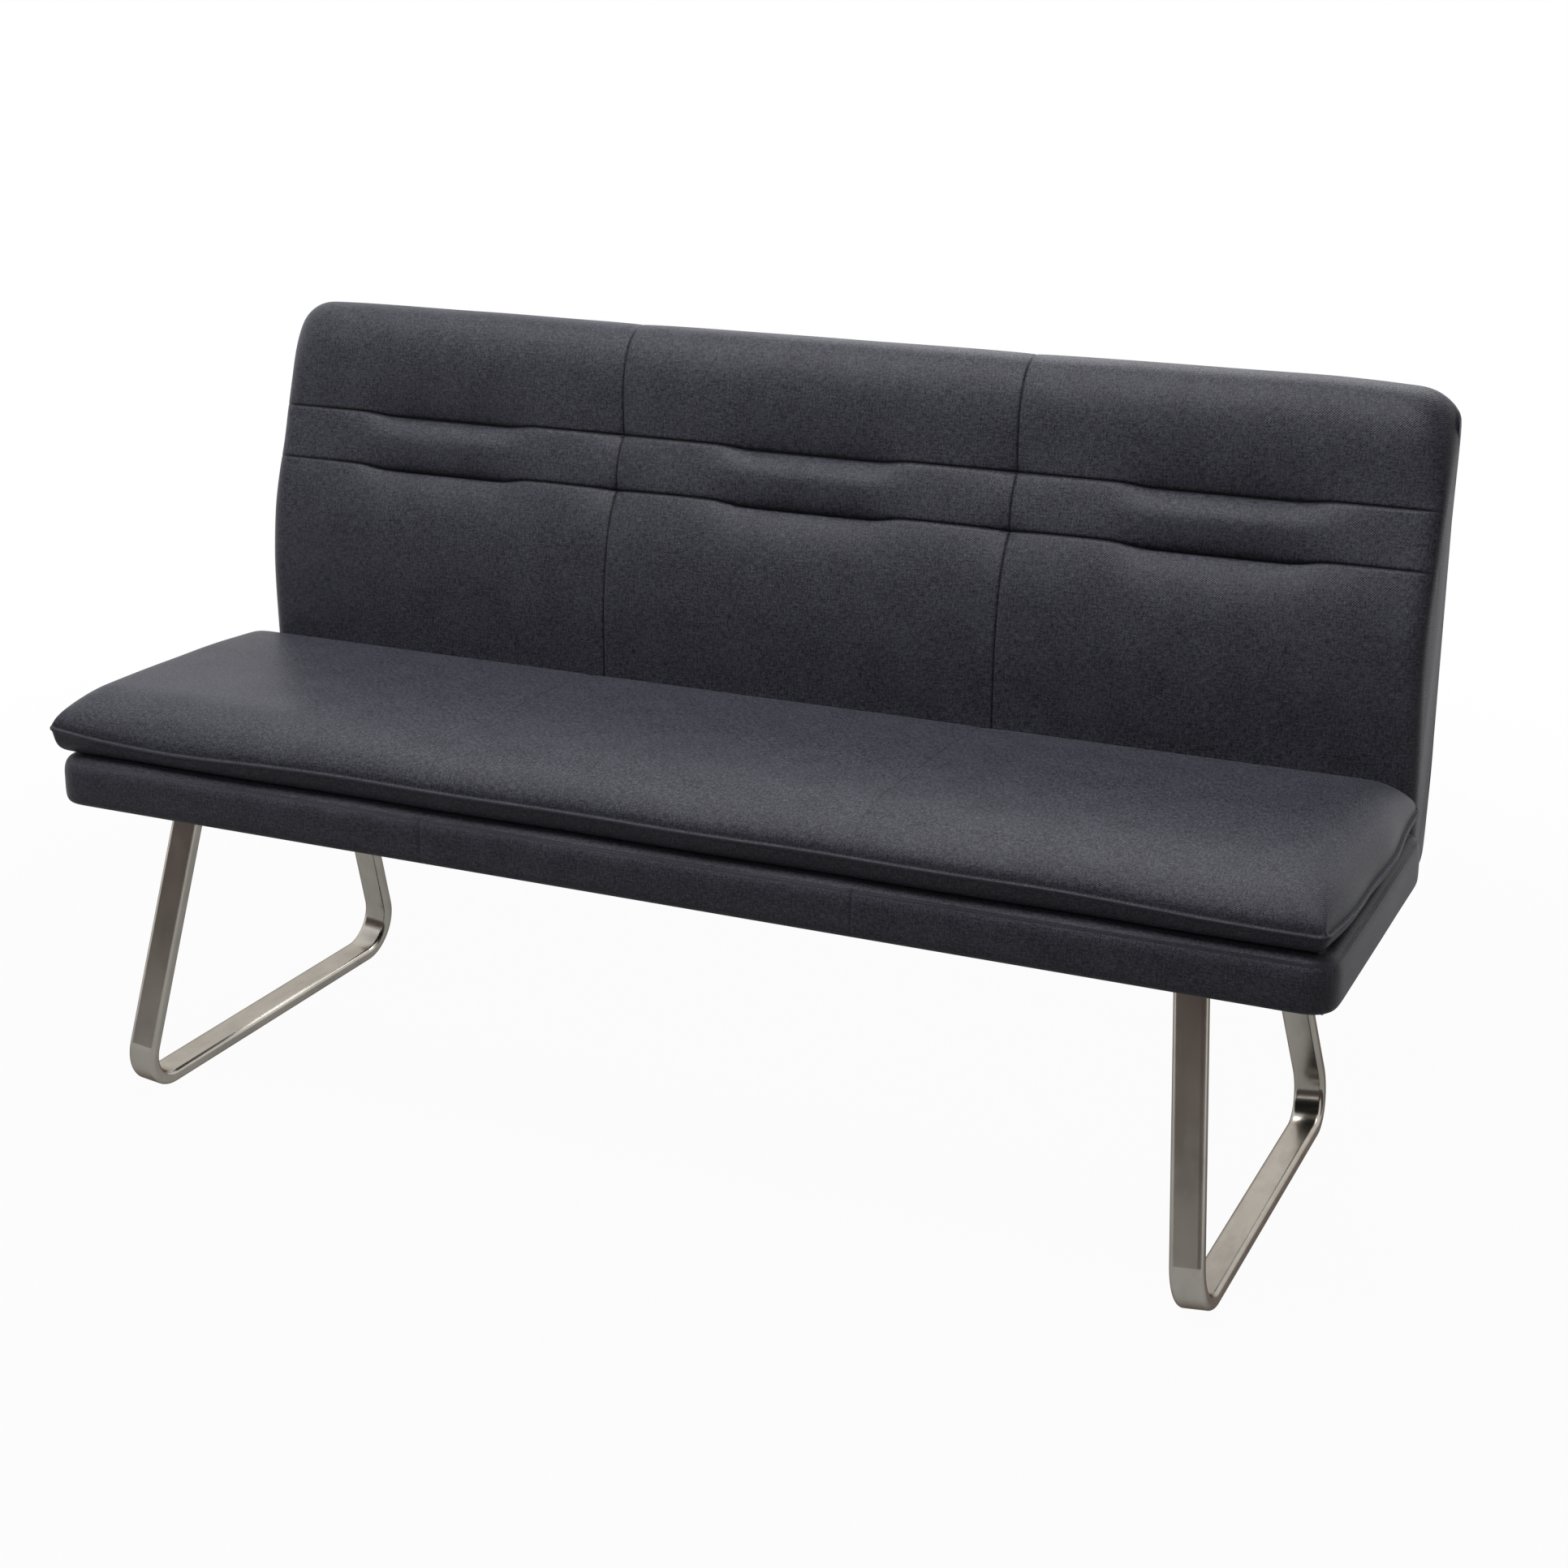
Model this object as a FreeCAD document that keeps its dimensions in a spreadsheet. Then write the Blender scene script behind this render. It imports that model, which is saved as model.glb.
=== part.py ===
"""Upholstered dining bench on two bent steel skids, built as a parametric document.

Frame: +Z up, X along the bench, the sitter faces -Y, the origin is on the floor in the
middle of the bench.  The y sizes in the sheet are measured back from the seat's front face.
"""
import FreeCAD
import Part
import Sketcher
import math
import os
import re

SIZES = [
    # skids: one bent flat tube each, splayed outwards towards the floor
    ("tube_width", 38),
    ("tube_thickness", 17),
    ("tube_corner", 6),
    ("tube_wall", 2),
    ("skid_setback", 121),
    ("skid_axis_height", 11.5),
    ("skid_splay_angle", 6.6),
    ("front_leg_angle", 15),
    ("rear_leg_angle", 21.8),
    ("front_leg_y", 51),
    ("rear_leg_setback", 53),
    ("bend_radius", 46),
    ("plate_length", 100),
    ("plate_width", 50),
    ("plate_thickness", 4),
    ("plate_bolt_spread", 35),
    ("glide_length", 60),
    ("glide_width", 24),
    ("front_glide_y", 55),
    ("rear_glide_setback", 6),
    # seat box
    ("seat_front", -277.4),
    ("seat_length", 1600),
    ("seat_depth", 446),
    ("seat_bottom", 362),
    ("seat_height", 63),
    ("seat_plan_corner", 25),
    ("seat_top_round", 16),
    ("seat_bottom_round", 8),
    ("cover_thickness", 1.5),
    ("side_padding", 8),
    ("top_padding", 10.5),
    ("hem_width", 26),
    ("dust_cover_thickness", 0.8),
    ("dust_cover_inset", 14),
    ("deck_thickness", 9),
    ("frame_rail_width", 30),
    ("cross_rail_width", 110),
    ("centre_rail_width", 60),
    # fasteners
    ("leg_bolt_diameter", 6),
    ("leg_bolt_head", 12),
    ("leg_bolt_head_height", 4),
    ("nut_barrel", 9),
    ("nut_flange", 20),
    ("nut_flange_thickness", 1.5),
    ("nut_barrel_length", 30),
    ("back_bolt_diameter", 8),
    ("back_bolt_head", 16),
    ("back_bolt_head_height", 5),
    ("back_bolt_clearance", 24),
    ("back_bolt_inner_x", 190),
    ("back_bolt_rise", 20),
    ("back_nut_height", 8),
    ("fit_gap", 0.2),
    ("soft_gap", 0.3),
    # loose seat cushion
    ("cushion_end_overhang", 5),
    ("cushion_flange", 8),
    ("cushion_flange_thickness", 5),
    ("cushion_overhang", 8),
    ("cushion_crown", 32),
    ("cushion_belly", 30),
    ("cushion_end_roll", 44),
    ("cushion_corner_draw", 10),
    ("cushion_rear_fall", 7),
    ("cushion_front_roll", 54),
    ("cushion_rear_roll", 50),
    ("cushion_belly_roll", 34),
    ("cushion_swell", 2),
    # back rest
    ("back_end_setback", 15),
    ("back_bottom", 345),
    ("back_bottom_corner", 24),
    ("face_bend_rise", 29.5),
    ("lower_channel_drop", 199.5),
    ("upper_channel_drop", 133.5),
    ("channel_step", 12),
    ("roll_clearance", 0.4),
    ("roll_puff", 10),
    ("back_top_z", 915.5),
    ("back_crest_set", 49),
    ("back_depth_bottom", 95),
    ("roll_depth", 79),
    ("back_end_round", 30),
    ("back_top_turn", 38),
    ("back_rear_swell", 18),
    ("channel_shoulder", 48),
    ("channel_shoulder_set", 15),
    ("roll_brow", 43),
    ("roll_brow_set", 15),
    ("seam_x", 267),
    ("seam_draw", 3),
    ("seam_spread", 35),
    ("channel_draw", 12),
    ("channel_draw_half", 110),
    ("channel_draw_run", 28),
    # back frame
    ("back_board", 22),
    ("back_rail_height", 55),
    ("back_rail_set", 24),
    ("back_rail_lift", 13),
    ("middle_rail_drop", 70),
    ("stile_depth", 30),
    ("stile_bend_drop", 30.25),
    ("stile_angle", 11),
    ("stile_top_drop", 39.5),
    ("outer_stile_setback", 50),
    ("top_rail_drop", 56),
]

doc = FreeCAD.newDocument("DiningBench")
sheet = doc.addObject("Spreadsheet::Sheet", "Sizes")
for row, (alias, number) in enumerate(SIZES, start=1):
    sheet.set("A%d" % row, alias)
    sheet.set("B%d" % row, str(number))
    sheet.setAlias("B%d" % row, alias)
doc.recompute()

nodes = []


def size(alias):
    """One size from the sheet as a number."""
    return float(sheet.get(alias))


def node(thing, label):
    """Keep an object as a sub-part under its own label."""
    thing.Label = label
    nodes.append(thing)
    return thing


def bind(thing, **formulas):
    """Tie properties to formulas over the sheet, written with the bare aliases."""
    names = [alias for alias, number in SIZES]
    for key, formula in formulas.items():
        tied = re.sub("[a-z_]+", lambda w: "Sizes." * (w.group() in names) + w.group(), formula)
        thing.setExpression(key.replace("__", "."), tied)
    return thing


def box(name, x, y, z, length, width, height):
    """A block from its low corner and its three sizes; y is from the seat's front face."""
    block = doc.addObject("Part::Box", name)
    bind(block, Length=length, Width=width, Height=height)
    return bind(block, Placement__Base__x=x, Placement__Base__y="seat_front + " + y,
                Placement__Base__z=z)


def upright(name, x, y, z, radius, height):
    """A vertical cylinder from its foot."""
    rod = doc.addObject("Part::Cylinder", name)
    bind(rod, Radius=radius, Height=height)
    return bind(rod, Placement__Base__x=x, Placement__Base__y="seat_front + " + y,
                Placement__Base__z=z)


def level(name, x, y, z, radius, height):
    """A cylinder that lies along +Y from its front end."""
    rod = upright(name, x, y, z, radius, height)
    rod.Placement = FreeCAD.Placement(FreeCAD.Vector(), FreeCAD.Rotation(FreeCAD.Vector(1, 0, 0), -90))
    return bind(rod, Placement__Base__x=x, Placement__Base__y="seat_front + " + y,
                Placement__Base__z=z)


def fuse(name, things):
    """Several objects as one."""
    whole = doc.addObject("Part::MultiFuse", name)
    whole.Shapes = things
    return whole


def group(name, things):
    """Several separate solids kept as one object."""
    whole = doc.addObject("Part::Compound", name)
    whole.Links = things
    return whole


def cut(name, base, tool):
    """One object less another."""
    rest = doc.addObject("Part::Cut", name)
    rest.Base = base
    rest.Tool = tool
    return rest


def rounded(name, base, radius, pick):
    """Round the edges of an object that pick accepts."""
    doc.recompute()
    soft = doc.addObject("Part::Fillet", name)
    soft.Base = base
    chosen = [i for i, edge in enumerate(base.Shape.Edges, start=1) if pick(edge)]
    soft.Edges = [(i, radius, radius) for i in chosen]
    return soft


def origin_plane(body, role):
    """One of a body's own origin planes."""
    return [part for part in body.Origin.OriginFeatures if part.Role == role][0]


def sketch_on(body, name, role):
    """An empty sketch on one of the body's origin planes."""
    sketch = body.newObject("Sketcher::SketchObject", name)
    sketch.AttachmentSupport = [(origin_plane(body, role), "")]
    sketch.MapMode = "FlatFace"
    return sketch


def named(sketch, constraint, name, formula):
    """Add a dimension to a sketch and tie it to the sheet."""
    index = sketch.addConstraint(constraint)
    sketch.renameConstraint(index, name)
    bind(sketch, **{"Constraints__" + name: formula})


def rounded_rectangle(sketch, name, wide, high, radius, formulas):
    """A rectangle with round corners about the sketch's origin."""
    reach = wide / 2 - radius
    rise = high / 2 - radius
    centres = [(reach, -rise), (reach, rise), (-reach, rise), (-reach, -rise)]
    arcs = []
    for turn, (u, v) in enumerate(centres):
        circle = Part.Circle(FreeCAD.Vector(u, v, 0), FreeCAD.Vector(0, 0, 1), radius)
        start = math.radians(turn * 90 - 90)
        arcs.append(sketch.addGeometry(Part.ArcOfCircle(circle, start, start + math.pi / 2)))
    for turn, arc in enumerate(arcs):
        after = arcs[(turn + 1) % 4]
        line = sketch.addGeometry(Part.LineSegment(sketch.getPoint(arc, 2), sketch.getPoint(after, 1)))
        sketch.addConstraint(Sketcher.Constraint("Tangent", arc, 2, line, 1))
        sketch.addConstraint(Sketcher.Constraint("Tangent", line, 2, after, 1))
        sketch.addConstraint(Sketcher.Constraint(("Vertical", "Horizontal")[turn % 2], line))
        if turn:
            sketch.addConstraint(Sketcher.Constraint("Equal", arcs[0], arc))
    sketch.addConstraint(Sketcher.Constraint("Symmetric", arcs[0], 3, arcs[2], 3, -1, 1))
    named(sketch, Sketcher.Constraint("Radius", arcs[0], radius), name + "_radius", formulas[2])
    named(sketch, Sketcher.Constraint("DistanceX", arcs[3], 3, arcs[0], 3, 2 * reach),
          name + "_wide", "%s - 2 * (%s)" % (formulas[0], formulas[2]))
    named(sketch, Sketcher.Constraint("DistanceY", arcs[0], 3, arcs[1], 3, 2 * rise),
          name + "_high", "%s - 2 * (%s)" % (formulas[1], formulas[2]))


def plain_rectangle(sketch, name, wide, high, formulas):
    """A rectangle with sharp corners about the sketch's origin."""
    corners = [FreeCAD.Vector(u * wide / 2, v * high / 2)
               for u, v in ((-1, -1), (1, -1), (1, 1), (-1, 1))]
    lines = [sketch.addGeometry(Part.LineSegment(corners[i], corners[(i + 1) % 4])) for i in range(4)]
    for turn, line in enumerate(lines):
        after = lines[(turn + 1) % 4]
        sketch.addConstraint(Sketcher.Constraint("Coincident", line, 2, after, 1))
        sketch.addConstraint(Sketcher.Constraint(("Horizontal", "Vertical")[turn % 2], line))
    sketch.addConstraint(Sketcher.Constraint("Symmetric", lines[0], 1, lines[2], 1, -1, 1))
    named(sketch, Sketcher.Constraint("DistanceX", lines[0], 1, lines[0], 2, wide),
          name + "_wide", formulas[0])
    named(sketch, Sketcher.Constraint("DistanceY", lines[1], 1, lines[1], 2, high),
          name + "_high", formulas[1])


# levels and places that several pieces share
PLATE_TOP = "(seat_bottom - dust_cover_thickness)"
PLATE_UNDER = "(seat_bottom - dust_cover_thickness - plate_thickness)"
SPLAY = "(skid_splay_angle * 1 deg)"
SKID_X = "(seat_length / 2 - skid_setback)"
LEG_RISE = "((%s - skid_axis_height) / cos%s)" % (PLATE_UNDER, SPLAY)
LEG_X = "(%s - tan%s * (%s - skid_axis_height))" % (SKID_X, SPLAY, PLATE_UNDER)
FRONT_LEG_Y = "front_leg_y"
REAR_LEG_Y = "(seat_depth - rear_leg_setback)"
LEG_Y = {"front": FRONT_LEG_Y, "rear": REAR_LEG_Y}
GLIDE_Y = {"front": "front_glide_y", "rear": "(seat_depth - rear_glide_setback)"}
LEG_SPAN = "((%s - %s) / 2)" % (REAR_LEG_Y, FRONT_LEG_Y)
FRAME_INSET = "(cover_thickness + side_padding)"
RAIL_BOTTOM = "(seat_bottom + cover_thickness)"
DECK_BOTTOM = "(seat_bottom + seat_height - cover_thickness - top_padding - deck_thickness)"
RAIL_HEIGHT = "(seat_height - 2 * cover_thickness - top_padding - deck_thickness)"
SIDES = ((1, "right", ""), (-1, "left", "-"))
ENDS = ("front", "rear")


def tube_path(sketch):
    """Leaning leg, bend, floor rail, bend, leaning leg, with the rail on the sketch's first axis."""
    splay = math.radians(size("skid_splay_angle"))
    plate_under = size("seat_bottom") - size("dust_cover_thickness") - size("plate_thickness")
    rise = (plate_under - size("skid_axis_height")) / math.cos(splay)
    over = size("tube_width")
    span = (size("seat_depth") - size("rear_leg_setback") - size("front_leg_y")) / 2
    radius = size("bend_radius")
    run = []
    for sign, end in ((-1, "front"), (1, "rear")):
        lean = math.radians(size(end + "_leg_angle"))
        foot = sign * (span + rise * math.tan(lean))
        reach = radius / math.tan((math.pi / 2 - lean) / 2)
        high = FreeCAD.Vector(sign * (span - over * math.tan(lean)), rise + over)
        bend = FreeCAD.Vector(foot - sign * reach * math.sin(lean), reach * math.cos(lean))
        rail = FreeCAD.Vector(foot - sign * reach, 0)
        run.append((high, bend, rail, FreeCAD.Vector(sign * span, rise)))
    (high_a, bend_a, rail_a, seat_a), (high_b, bend_b, rail_b, seat_b) = run
    centre_a = rail_a + FreeCAD.Vector(0, radius)
    centre_b = rail_b + FreeCAD.Vector(0, radius)
    lean_a = math.radians(size("front_leg_angle"))
    lean_b = math.radians(size("rear_leg_angle"))
    up = FreeCAD.Vector(0, 0, 1)
    leg_a = sketch.addGeometry(Part.LineSegment(high_a, bend_a))
    turn_a = sketch.addGeometry(
        Part.ArcOfCircle(Part.Circle(centre_a, up, radius), math.pi - lean_a, math.pi * 1.5))
    rail = sketch.addGeometry(Part.LineSegment(rail_a, rail_b))
    turn_b = sketch.addGeometry(
        Part.ArcOfCircle(Part.Circle(centre_b, up, radius), -math.pi / 2, lean_b))
    leg_b = sketch.addGeometry(Part.LineSegment(bend_b, high_b))
    for first, second in ((leg_a, turn_a), (turn_a, rail), (rail, turn_b), (turn_b, leg_b)):
        sketch.addConstraint(Sketcher.Constraint("Tangent", first, 2, second, 1))
    sketch.addConstraint(Sketcher.Constraint("Horizontal", rail))
    sketch.addConstraint(Sketcher.Constraint("PointOnObject", rail, 1, -1))
    sketch.addConstraint(Sketcher.Constraint("Equal", turn_a, turn_b))
    named(sketch, Sketcher.Constraint("Radius", turn_a, radius), "bend", "bend_radius")
    tops = ((leg_a, 1, seat_a, "front", True), (leg_b, 2, seat_b, "rear", False))
    for leg, end, seat, name, before in tops:
        point = sketch.addGeometry(Part.Point(seat), True)
        sketch.addConstraint(Sketcher.Constraint("PointOnObject", point, 1, leg))
        inward = "%s - tube_width * tan(%s_leg_angle * 1 deg)" % (LEG_SPAN, name)
        for place, tag, across, height in ((point, "seat", LEG_SPAN, LEG_RISE),
                                           (leg, "top", inward, LEG_RISE + " + tube_width")):
            spot = 1 if place == point else end
            there = sketch.getPoint(place, spot)
            pair = (place, spot, -1, 1) if before else (-1, 1, place, spot)
            named(sketch, Sketcher.Constraint("DistanceX", *pair, abs(there.x)),
                  "%s_%s_across" % (name, tag), across)
            named(sketch, Sketcher.Constraint("DistanceY", -1, 1, place, spot, there.y),
                  "%s_%s_height" % (name, tag), height)


def skid(sign, side):
    """A flat tube bent to a U, tipped outwards and cut level under its plates."""
    title = side.capitalize() + "Skid"
    body = doc.addObject("PartDesign::Body", title + "Body")
    path = sketch_on(body, title + "Path", "YZ_Plane")
    tube_path(path)
    section = sketch_on(body, title + "Section", "XZ_Plane")
    wide = size("tube_width")
    high = size("tube_thickness")
    wall = size("tube_wall")
    corner = size("tube_corner")
    rounded_rectangle(section, "outer", wide, high, corner,
                      ("tube_width", "tube_thickness", "tube_corner"))
    plain_rectangle(section, "inner", wide - 2 * wall, high - 2 * wall,
                    ("tube_width - 2 * tube_wall", "tube_thickness - 2 * tube_wall"))
    doc.recompute()
    tube = body.newObject("PartDesign::AdditivePipe", title + "Tube")
    tube.Profile = section
    tube.Spine = (path, ["Edge%d" % i for i in range(1, 6)])
    body.Tip = tube
    lean = FreeCAD.Rotation(FreeCAD.Vector(0, -sign, 0), size("skid_splay_angle"))
    body.Placement = FreeCAD.Placement(FreeCAD.Vector(), lean)
    bind(body, Placement__Base__x="%d * %s" % (sign, SKID_X),
         Placement__Base__y="seat_front + (%s + %s) / 2" % (FRONT_LEG_Y, REAR_LEG_Y),
         Placement__Base__z="skid_axis_height",
         Placement__Rotation__Angle=SPLAY)
    above = box(title + "Above", "%d * %s - 2 * plate_length" % (sign, LEG_X), "0", PLATE_UNDER,
                "4 * plate_length", "seat_depth", "2 * tube_width")
    return node(cut(title, body, above), side + "_skid")


def glide(sign, side, end):
    """A wedge that levels the tipped rail on the floor."""
    pad = doc.addObject("Part::Wedge", side.capitalize() + end.capitalize() + "Glide")
    middle = "skid_axis_height - tube_thickness / 2 * cos%s" % SPLAY
    half = "glide_width / 2 * tan%s" % SPLAY
    bind(pad, Xmin="0", X2min="0", Ymin="0", Zmin="0", Z2min="0", Xmax="glide_length",
         X2max="glide_length", Ymax="glide_width", Zmax="%s - %s" % (middle, half),
         Z2max="%s + %s" % (middle, half))
    turn = FreeCAD.Rotation(FreeCAD.Vector(0, 0, -sign), 90)
    pad.Placement = FreeCAD.Placement(FreeCAD.Vector(), turn)
    centre = "%s + tube_thickness / 2 * sin%s" % (SKID_X, SPLAY)
    bind(pad, Placement__Base__x="%d * (%s - glide_width / 2)" % (sign, centre),
         Placement__Base__y="seat_front + %s + %d * glide_length / 2" % (GLIDE_Y[end], sign))
    return node(pad, "%s_%s_glide" % (side, end))


def leg_spots():
    """The two bolt places of each leg: a name, x and y formulas, for every leg."""
    spots = []
    for sign, side, minus in SIDES:
        for end in ENDS:
            for step, tag in ((1, "A"), (-1, "B")):
                x = "%d * %s + %d * plate_bolt_spread" % (sign, LEG_X, step)
                spots.append((side, end, side.capitalize() + end.capitalize() + tag, x, LEG_Y[end]))
    return spots


def leg_plates(spots):
    """A flat plate welded on each leg's top, with two clear holes."""
    for sign, side, minus in SIDES:
        for end in ENDS:
            title = side.capitalize() + end.capitalize() + "Plate"
            blank = box(title + "Blank", "%d * %s - plate_length / 2" % (sign, LEG_X),
                        "%s - plate_width / 2" % LEG_Y[end], PLATE_UNDER,
                        "plate_length", "plate_width", "plate_thickness")
            holes = [upright(name + "PlateHole", x, y, PLATE_UNDER, "leg_bolt_diameter / 2 + fit_gap",
                             "plate_thickness")
                     for at, where, name, x, y in spots if (at, where) == (side, end)]
            node(cut(title, blank, fuse(title + "Holes", holes)), "%s_%s_leg_plate" % (side, end))


def leg_fasteners(spots):
    """Bolts from below and flanged nuts from above, one pair at each spot."""
    bolts = []
    nuts = []
    barrel_foot = "%s - nut_flange_thickness - nut_barrel_length" % DECK_BOTTOM
    for side, end, name, x, y in spots:
        head = upright(name + "Head", x, y, PLATE_UNDER + " - leg_bolt_head_height",
                       "leg_bolt_head / 2", "leg_bolt_head_height")
        shank = upright(name + "Shank", x, y, PLATE_UNDER, "leg_bolt_diameter / 2",
                        "%s - nut_flange_thickness - %s" % (DECK_BOTTOM, PLATE_UNDER))
        bolts.append(fuse(name + "Bolt", [head, shank]))
        barrel = upright(name + "Barrel", x, y, barrel_foot, "nut_barrel / 2", "nut_barrel_length")
        flange = upright(name + "Flange", x, y, DECK_BOTTOM + " - nut_flange_thickness",
                         "nut_flange / 2", "nut_flange_thickness")
        bore = upright(name + "Bore", x, y, barrel_foot, "leg_bolt_diameter / 2 + fit_gap",
                       "nut_barrel_length + nut_flange_thickness")
        nuts.append(cut(name + "Nut", fuse(name + "NutBlank", [barrel, flange]), bore))
    node(group("LegBolts", bolts), "leg_bolts")
    node(group("LegNuts", nuts), "leg_tee_nuts")


def back_bolt_spots():
    """The four places where the back is bolted to the seat: a name, x and z formulas."""
    rise = RAIL_BOTTOM + " + back_bolt_rise"
    outer = "(%s - cross_rail_width / 2 - back_bolt_clearance)" % LEG_X
    return [(side.capitalize() + row, "%d * %s" % (sign, x), rise)
            for sign, side, minus in SIDES for row, x in (("Outer", outer), ("Inner", "back_bolt_inner_x"))]


def across_holes(name, y, length):
    """Clear holes for the back's bolts along +Y from a given place."""
    return fuse(name, [level(name + tag, x, y, z, "back_bolt_diameter / 2 + fit_gap", length)
                       for tag, x, z in back_bolt_spots()])


REAR_RAIL_Y = "(seat_depth - %s - frame_rail_width)" % FRAME_INSET
BACK_FRONT = "(seat_depth + soft_gap)"
BACK_RAIL_Y = "(%s + back_rail_set)" % BACK_FRONT
STILE_Y = "(%s + back_rail_set + back_board)" % BACK_FRONT
FRAME_LENGTH = "(seat_length - 2 * %s)" % FRAME_INSET
BACK_HALF = "(seat_length / 2 - back_end_setback)"
OUTER_STILE_X = "(%s - outer_stile_setback)" % BACK_HALF
BACK_RAIL_LENGTH = "(2 * %s + back_board)" % OUTER_STILE_X
STILE_TILT = "(stile_angle * 1 deg)"
STILE_BEND = "((back_bottom + back_top_z) / 2 - stile_bend_drop)"
STILE_TOP = "(back_top_z - stile_top_drop)"
TOP_RAIL_RUN = "(%s - %s - top_rail_drop)" % (STILE_TOP, STILE_BEND)


def eased(name, base, front, rear):
    """Round a frame piece's upright outer corners to run even with the cover's corners."""
    doc.recompute()
    room = base.Shape.BoundBox
    ends = [room.YMin] * front + [room.YMax] * rear

    def outer(edge):
        spots = edge.Vertexes
        upright_edge = abs(spots[0].X - spots[-1].X) + abs(spots[0].Y - spots[-1].Y) < 0.01
        return upright_edge and any(abs(spots[0].Y - y) < 0.01 for y in ends)

    radius = size("seat_plan_corner") - size("cover_thickness") - size("side_padding")
    return rounded(name, base, radius, outer)


def seat_frame(spots):
    """Front, rear, end, cross and centre rails under a plywood deck."""
    left = "-%s / 2" % FRAME_LENGTH
    between = "seat_depth - 2 * %s - 2 * frame_rail_width" % FRAME_INSET
    inner_y = FRAME_INSET + " + frame_rail_width"
    front = box("FrontRailBlank", left, FRAME_INSET, RAIL_BOTTOM, FRAME_LENGTH, "frame_rail_width",
                RAIL_HEIGHT)
    node(eased("FrontRail", front, True, False), "seat_front_rail")
    rear = box("RearRailBlank", left, REAR_RAIL_Y, RAIL_BOTTOM, FRAME_LENGTH, "frame_rail_width",
               RAIL_HEIGHT)
    rear = eased("RearRailEased", rear, False, True)
    holes = across_holes("RearRailHole", REAR_RAIL_Y, "frame_rail_width")
    node(cut("RearRail", rear, holes), "seat_rear_rail")
    for sign, side, minus in SIDES:
        x = "%d * (%s / 2 - frame_rail_width / 2) - frame_rail_width / 2" % (sign, FRAME_LENGTH)
        node(box(side.capitalize() + "EndRail", x, inner_y, RAIL_BOTTOM, "frame_rail_width", between,
                 RAIL_HEIGHT), "seat_%s_end_rail" % side)
        blank = box(side.capitalize() + "CrossBlank", "%d * %s - cross_rail_width / 2" % (sign, LEG_X),
                    inner_y, "seat_bottom", "cross_rail_width", between, RAIL_HEIGHT + " + cover_thickness")
        holes = []
        for at, end, name, x, y in spots:
            if at == side:
                holes.append(upright(name + "RailHole", x, y, "seat_bottom", "nut_barrel / 2 + fit_gap",
                                     RAIL_HEIGHT + " + cover_thickness"))
                holes.append(upright(name + "RailSink", x, y, DECK_BOTTOM + " - nut_flange_thickness",
                                     "nut_flange / 2 + fit_gap", "nut_flange_thickness"))
        node(cut(side.capitalize() + "Cross", blank, fuse(side.capitalize() + "CrossHoles", holes)),
             "seat_%s_cross_rail" % side)
    node(box("CentreRail", "-centre_rail_width / 2", inner_y, "seat_bottom", "centre_rail_width", between,
             RAIL_HEIGHT + " + cover_thickness"), "seat_centre_rail")
    deck = box("DeckBlank", left, FRAME_INSET, DECK_BOTTOM, FRAME_LENGTH, "seat_depth - 2 * %s" % FRAME_INSET,
               "deck_thickness")
    node(eased("Deck", deck, True, True), "seat_deck")


def soft_box(name, inset):
    """The seat box's rounded outside, drawn in by a formula on every side."""
    less = {"": 0, "cover_thickness": size("cover_thickness")}[inset]
    inset = inset or "0"
    block = box(name + "Block", "-seat_length / 2 + " + inset, inset, "seat_bottom + " + inset,
                "seat_length - 2 * " + inset, "seat_depth - 2 * " + inset, "seat_height - 2 * " + inset)
    doc.recompute()
    low = block.Shape.BoundBox.ZMin
    high = block.Shape.BoundBox.ZMax

    def flat_at(z):
        return lambda edge: all(abs(v.Z - z) < 0.01 for v in edge.Vertexes)

    corners = rounded(name + "Corners", block, size("seat_plan_corner") - less,
                      lambda edge: edge.Vertexes[0].Z != edge.Vertexes[1].Z)
    top = rounded(name + "Top", corners, size("seat_top_round") - less, flat_at(high))
    return rounded(name, top, size("seat_bottom_round") - less, flat_at(low))


def seat_upholstery(spots):
    """Padding, a fabric cover turned under all round, and a dust cover below."""
    outside = soft_box("SeatOutside", "")
    inside = soft_box("SeatInside", "cover_thickness")
    mouth = box("SeatMouth", "-seat_length / 2 + hem_width", "hem_width", "seat_bottom",
                "seat_length - 2 * hem_width", "seat_depth - 2 * hem_width", "cover_thickness")
    holes = across_holes("SeatCoverHole", REAR_RAIL_Y, "frame_rail_width + %s" % FRAME_INSET)
    node(cut("SeatCover", outside, fuse("SeatCoverRoom", [inside, mouth, holes])), "seat_cover")
    core = box("SeatCoreBlock", "-%s / 2" % FRAME_LENGTH, FRAME_INSET, RAIL_BOTTOM, FRAME_LENGTH,
               "seat_depth - 2 * " + FRAME_INSET, RAIL_HEIGHT + " + deck_thickness")
    core = eased("SeatCore", core, True, True)
    node(cut("SeatPadding", inside, fuse("SeatPaddingRoom", [core, holes])), "seat_padding")
    sheet_blank = box("DustBlank", "-seat_length / 2 + dust_cover_inset", "dust_cover_inset", PLATE_TOP,
                      "seat_length - 2 * dust_cover_inset", "seat_depth - 2 * dust_cover_inset",
                      "dust_cover_thickness")
    punched = [upright(name + "DustHole", x, y, PLATE_TOP, "leg_bolt_diameter / 2 + fit_gap",
                       "dust_cover_thickness") for side, end, name, x, y in spots]
    node(cut("DustCover", sheet_blank, fuse("DustHoles", punched)), "seat_dust_cover")


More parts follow.
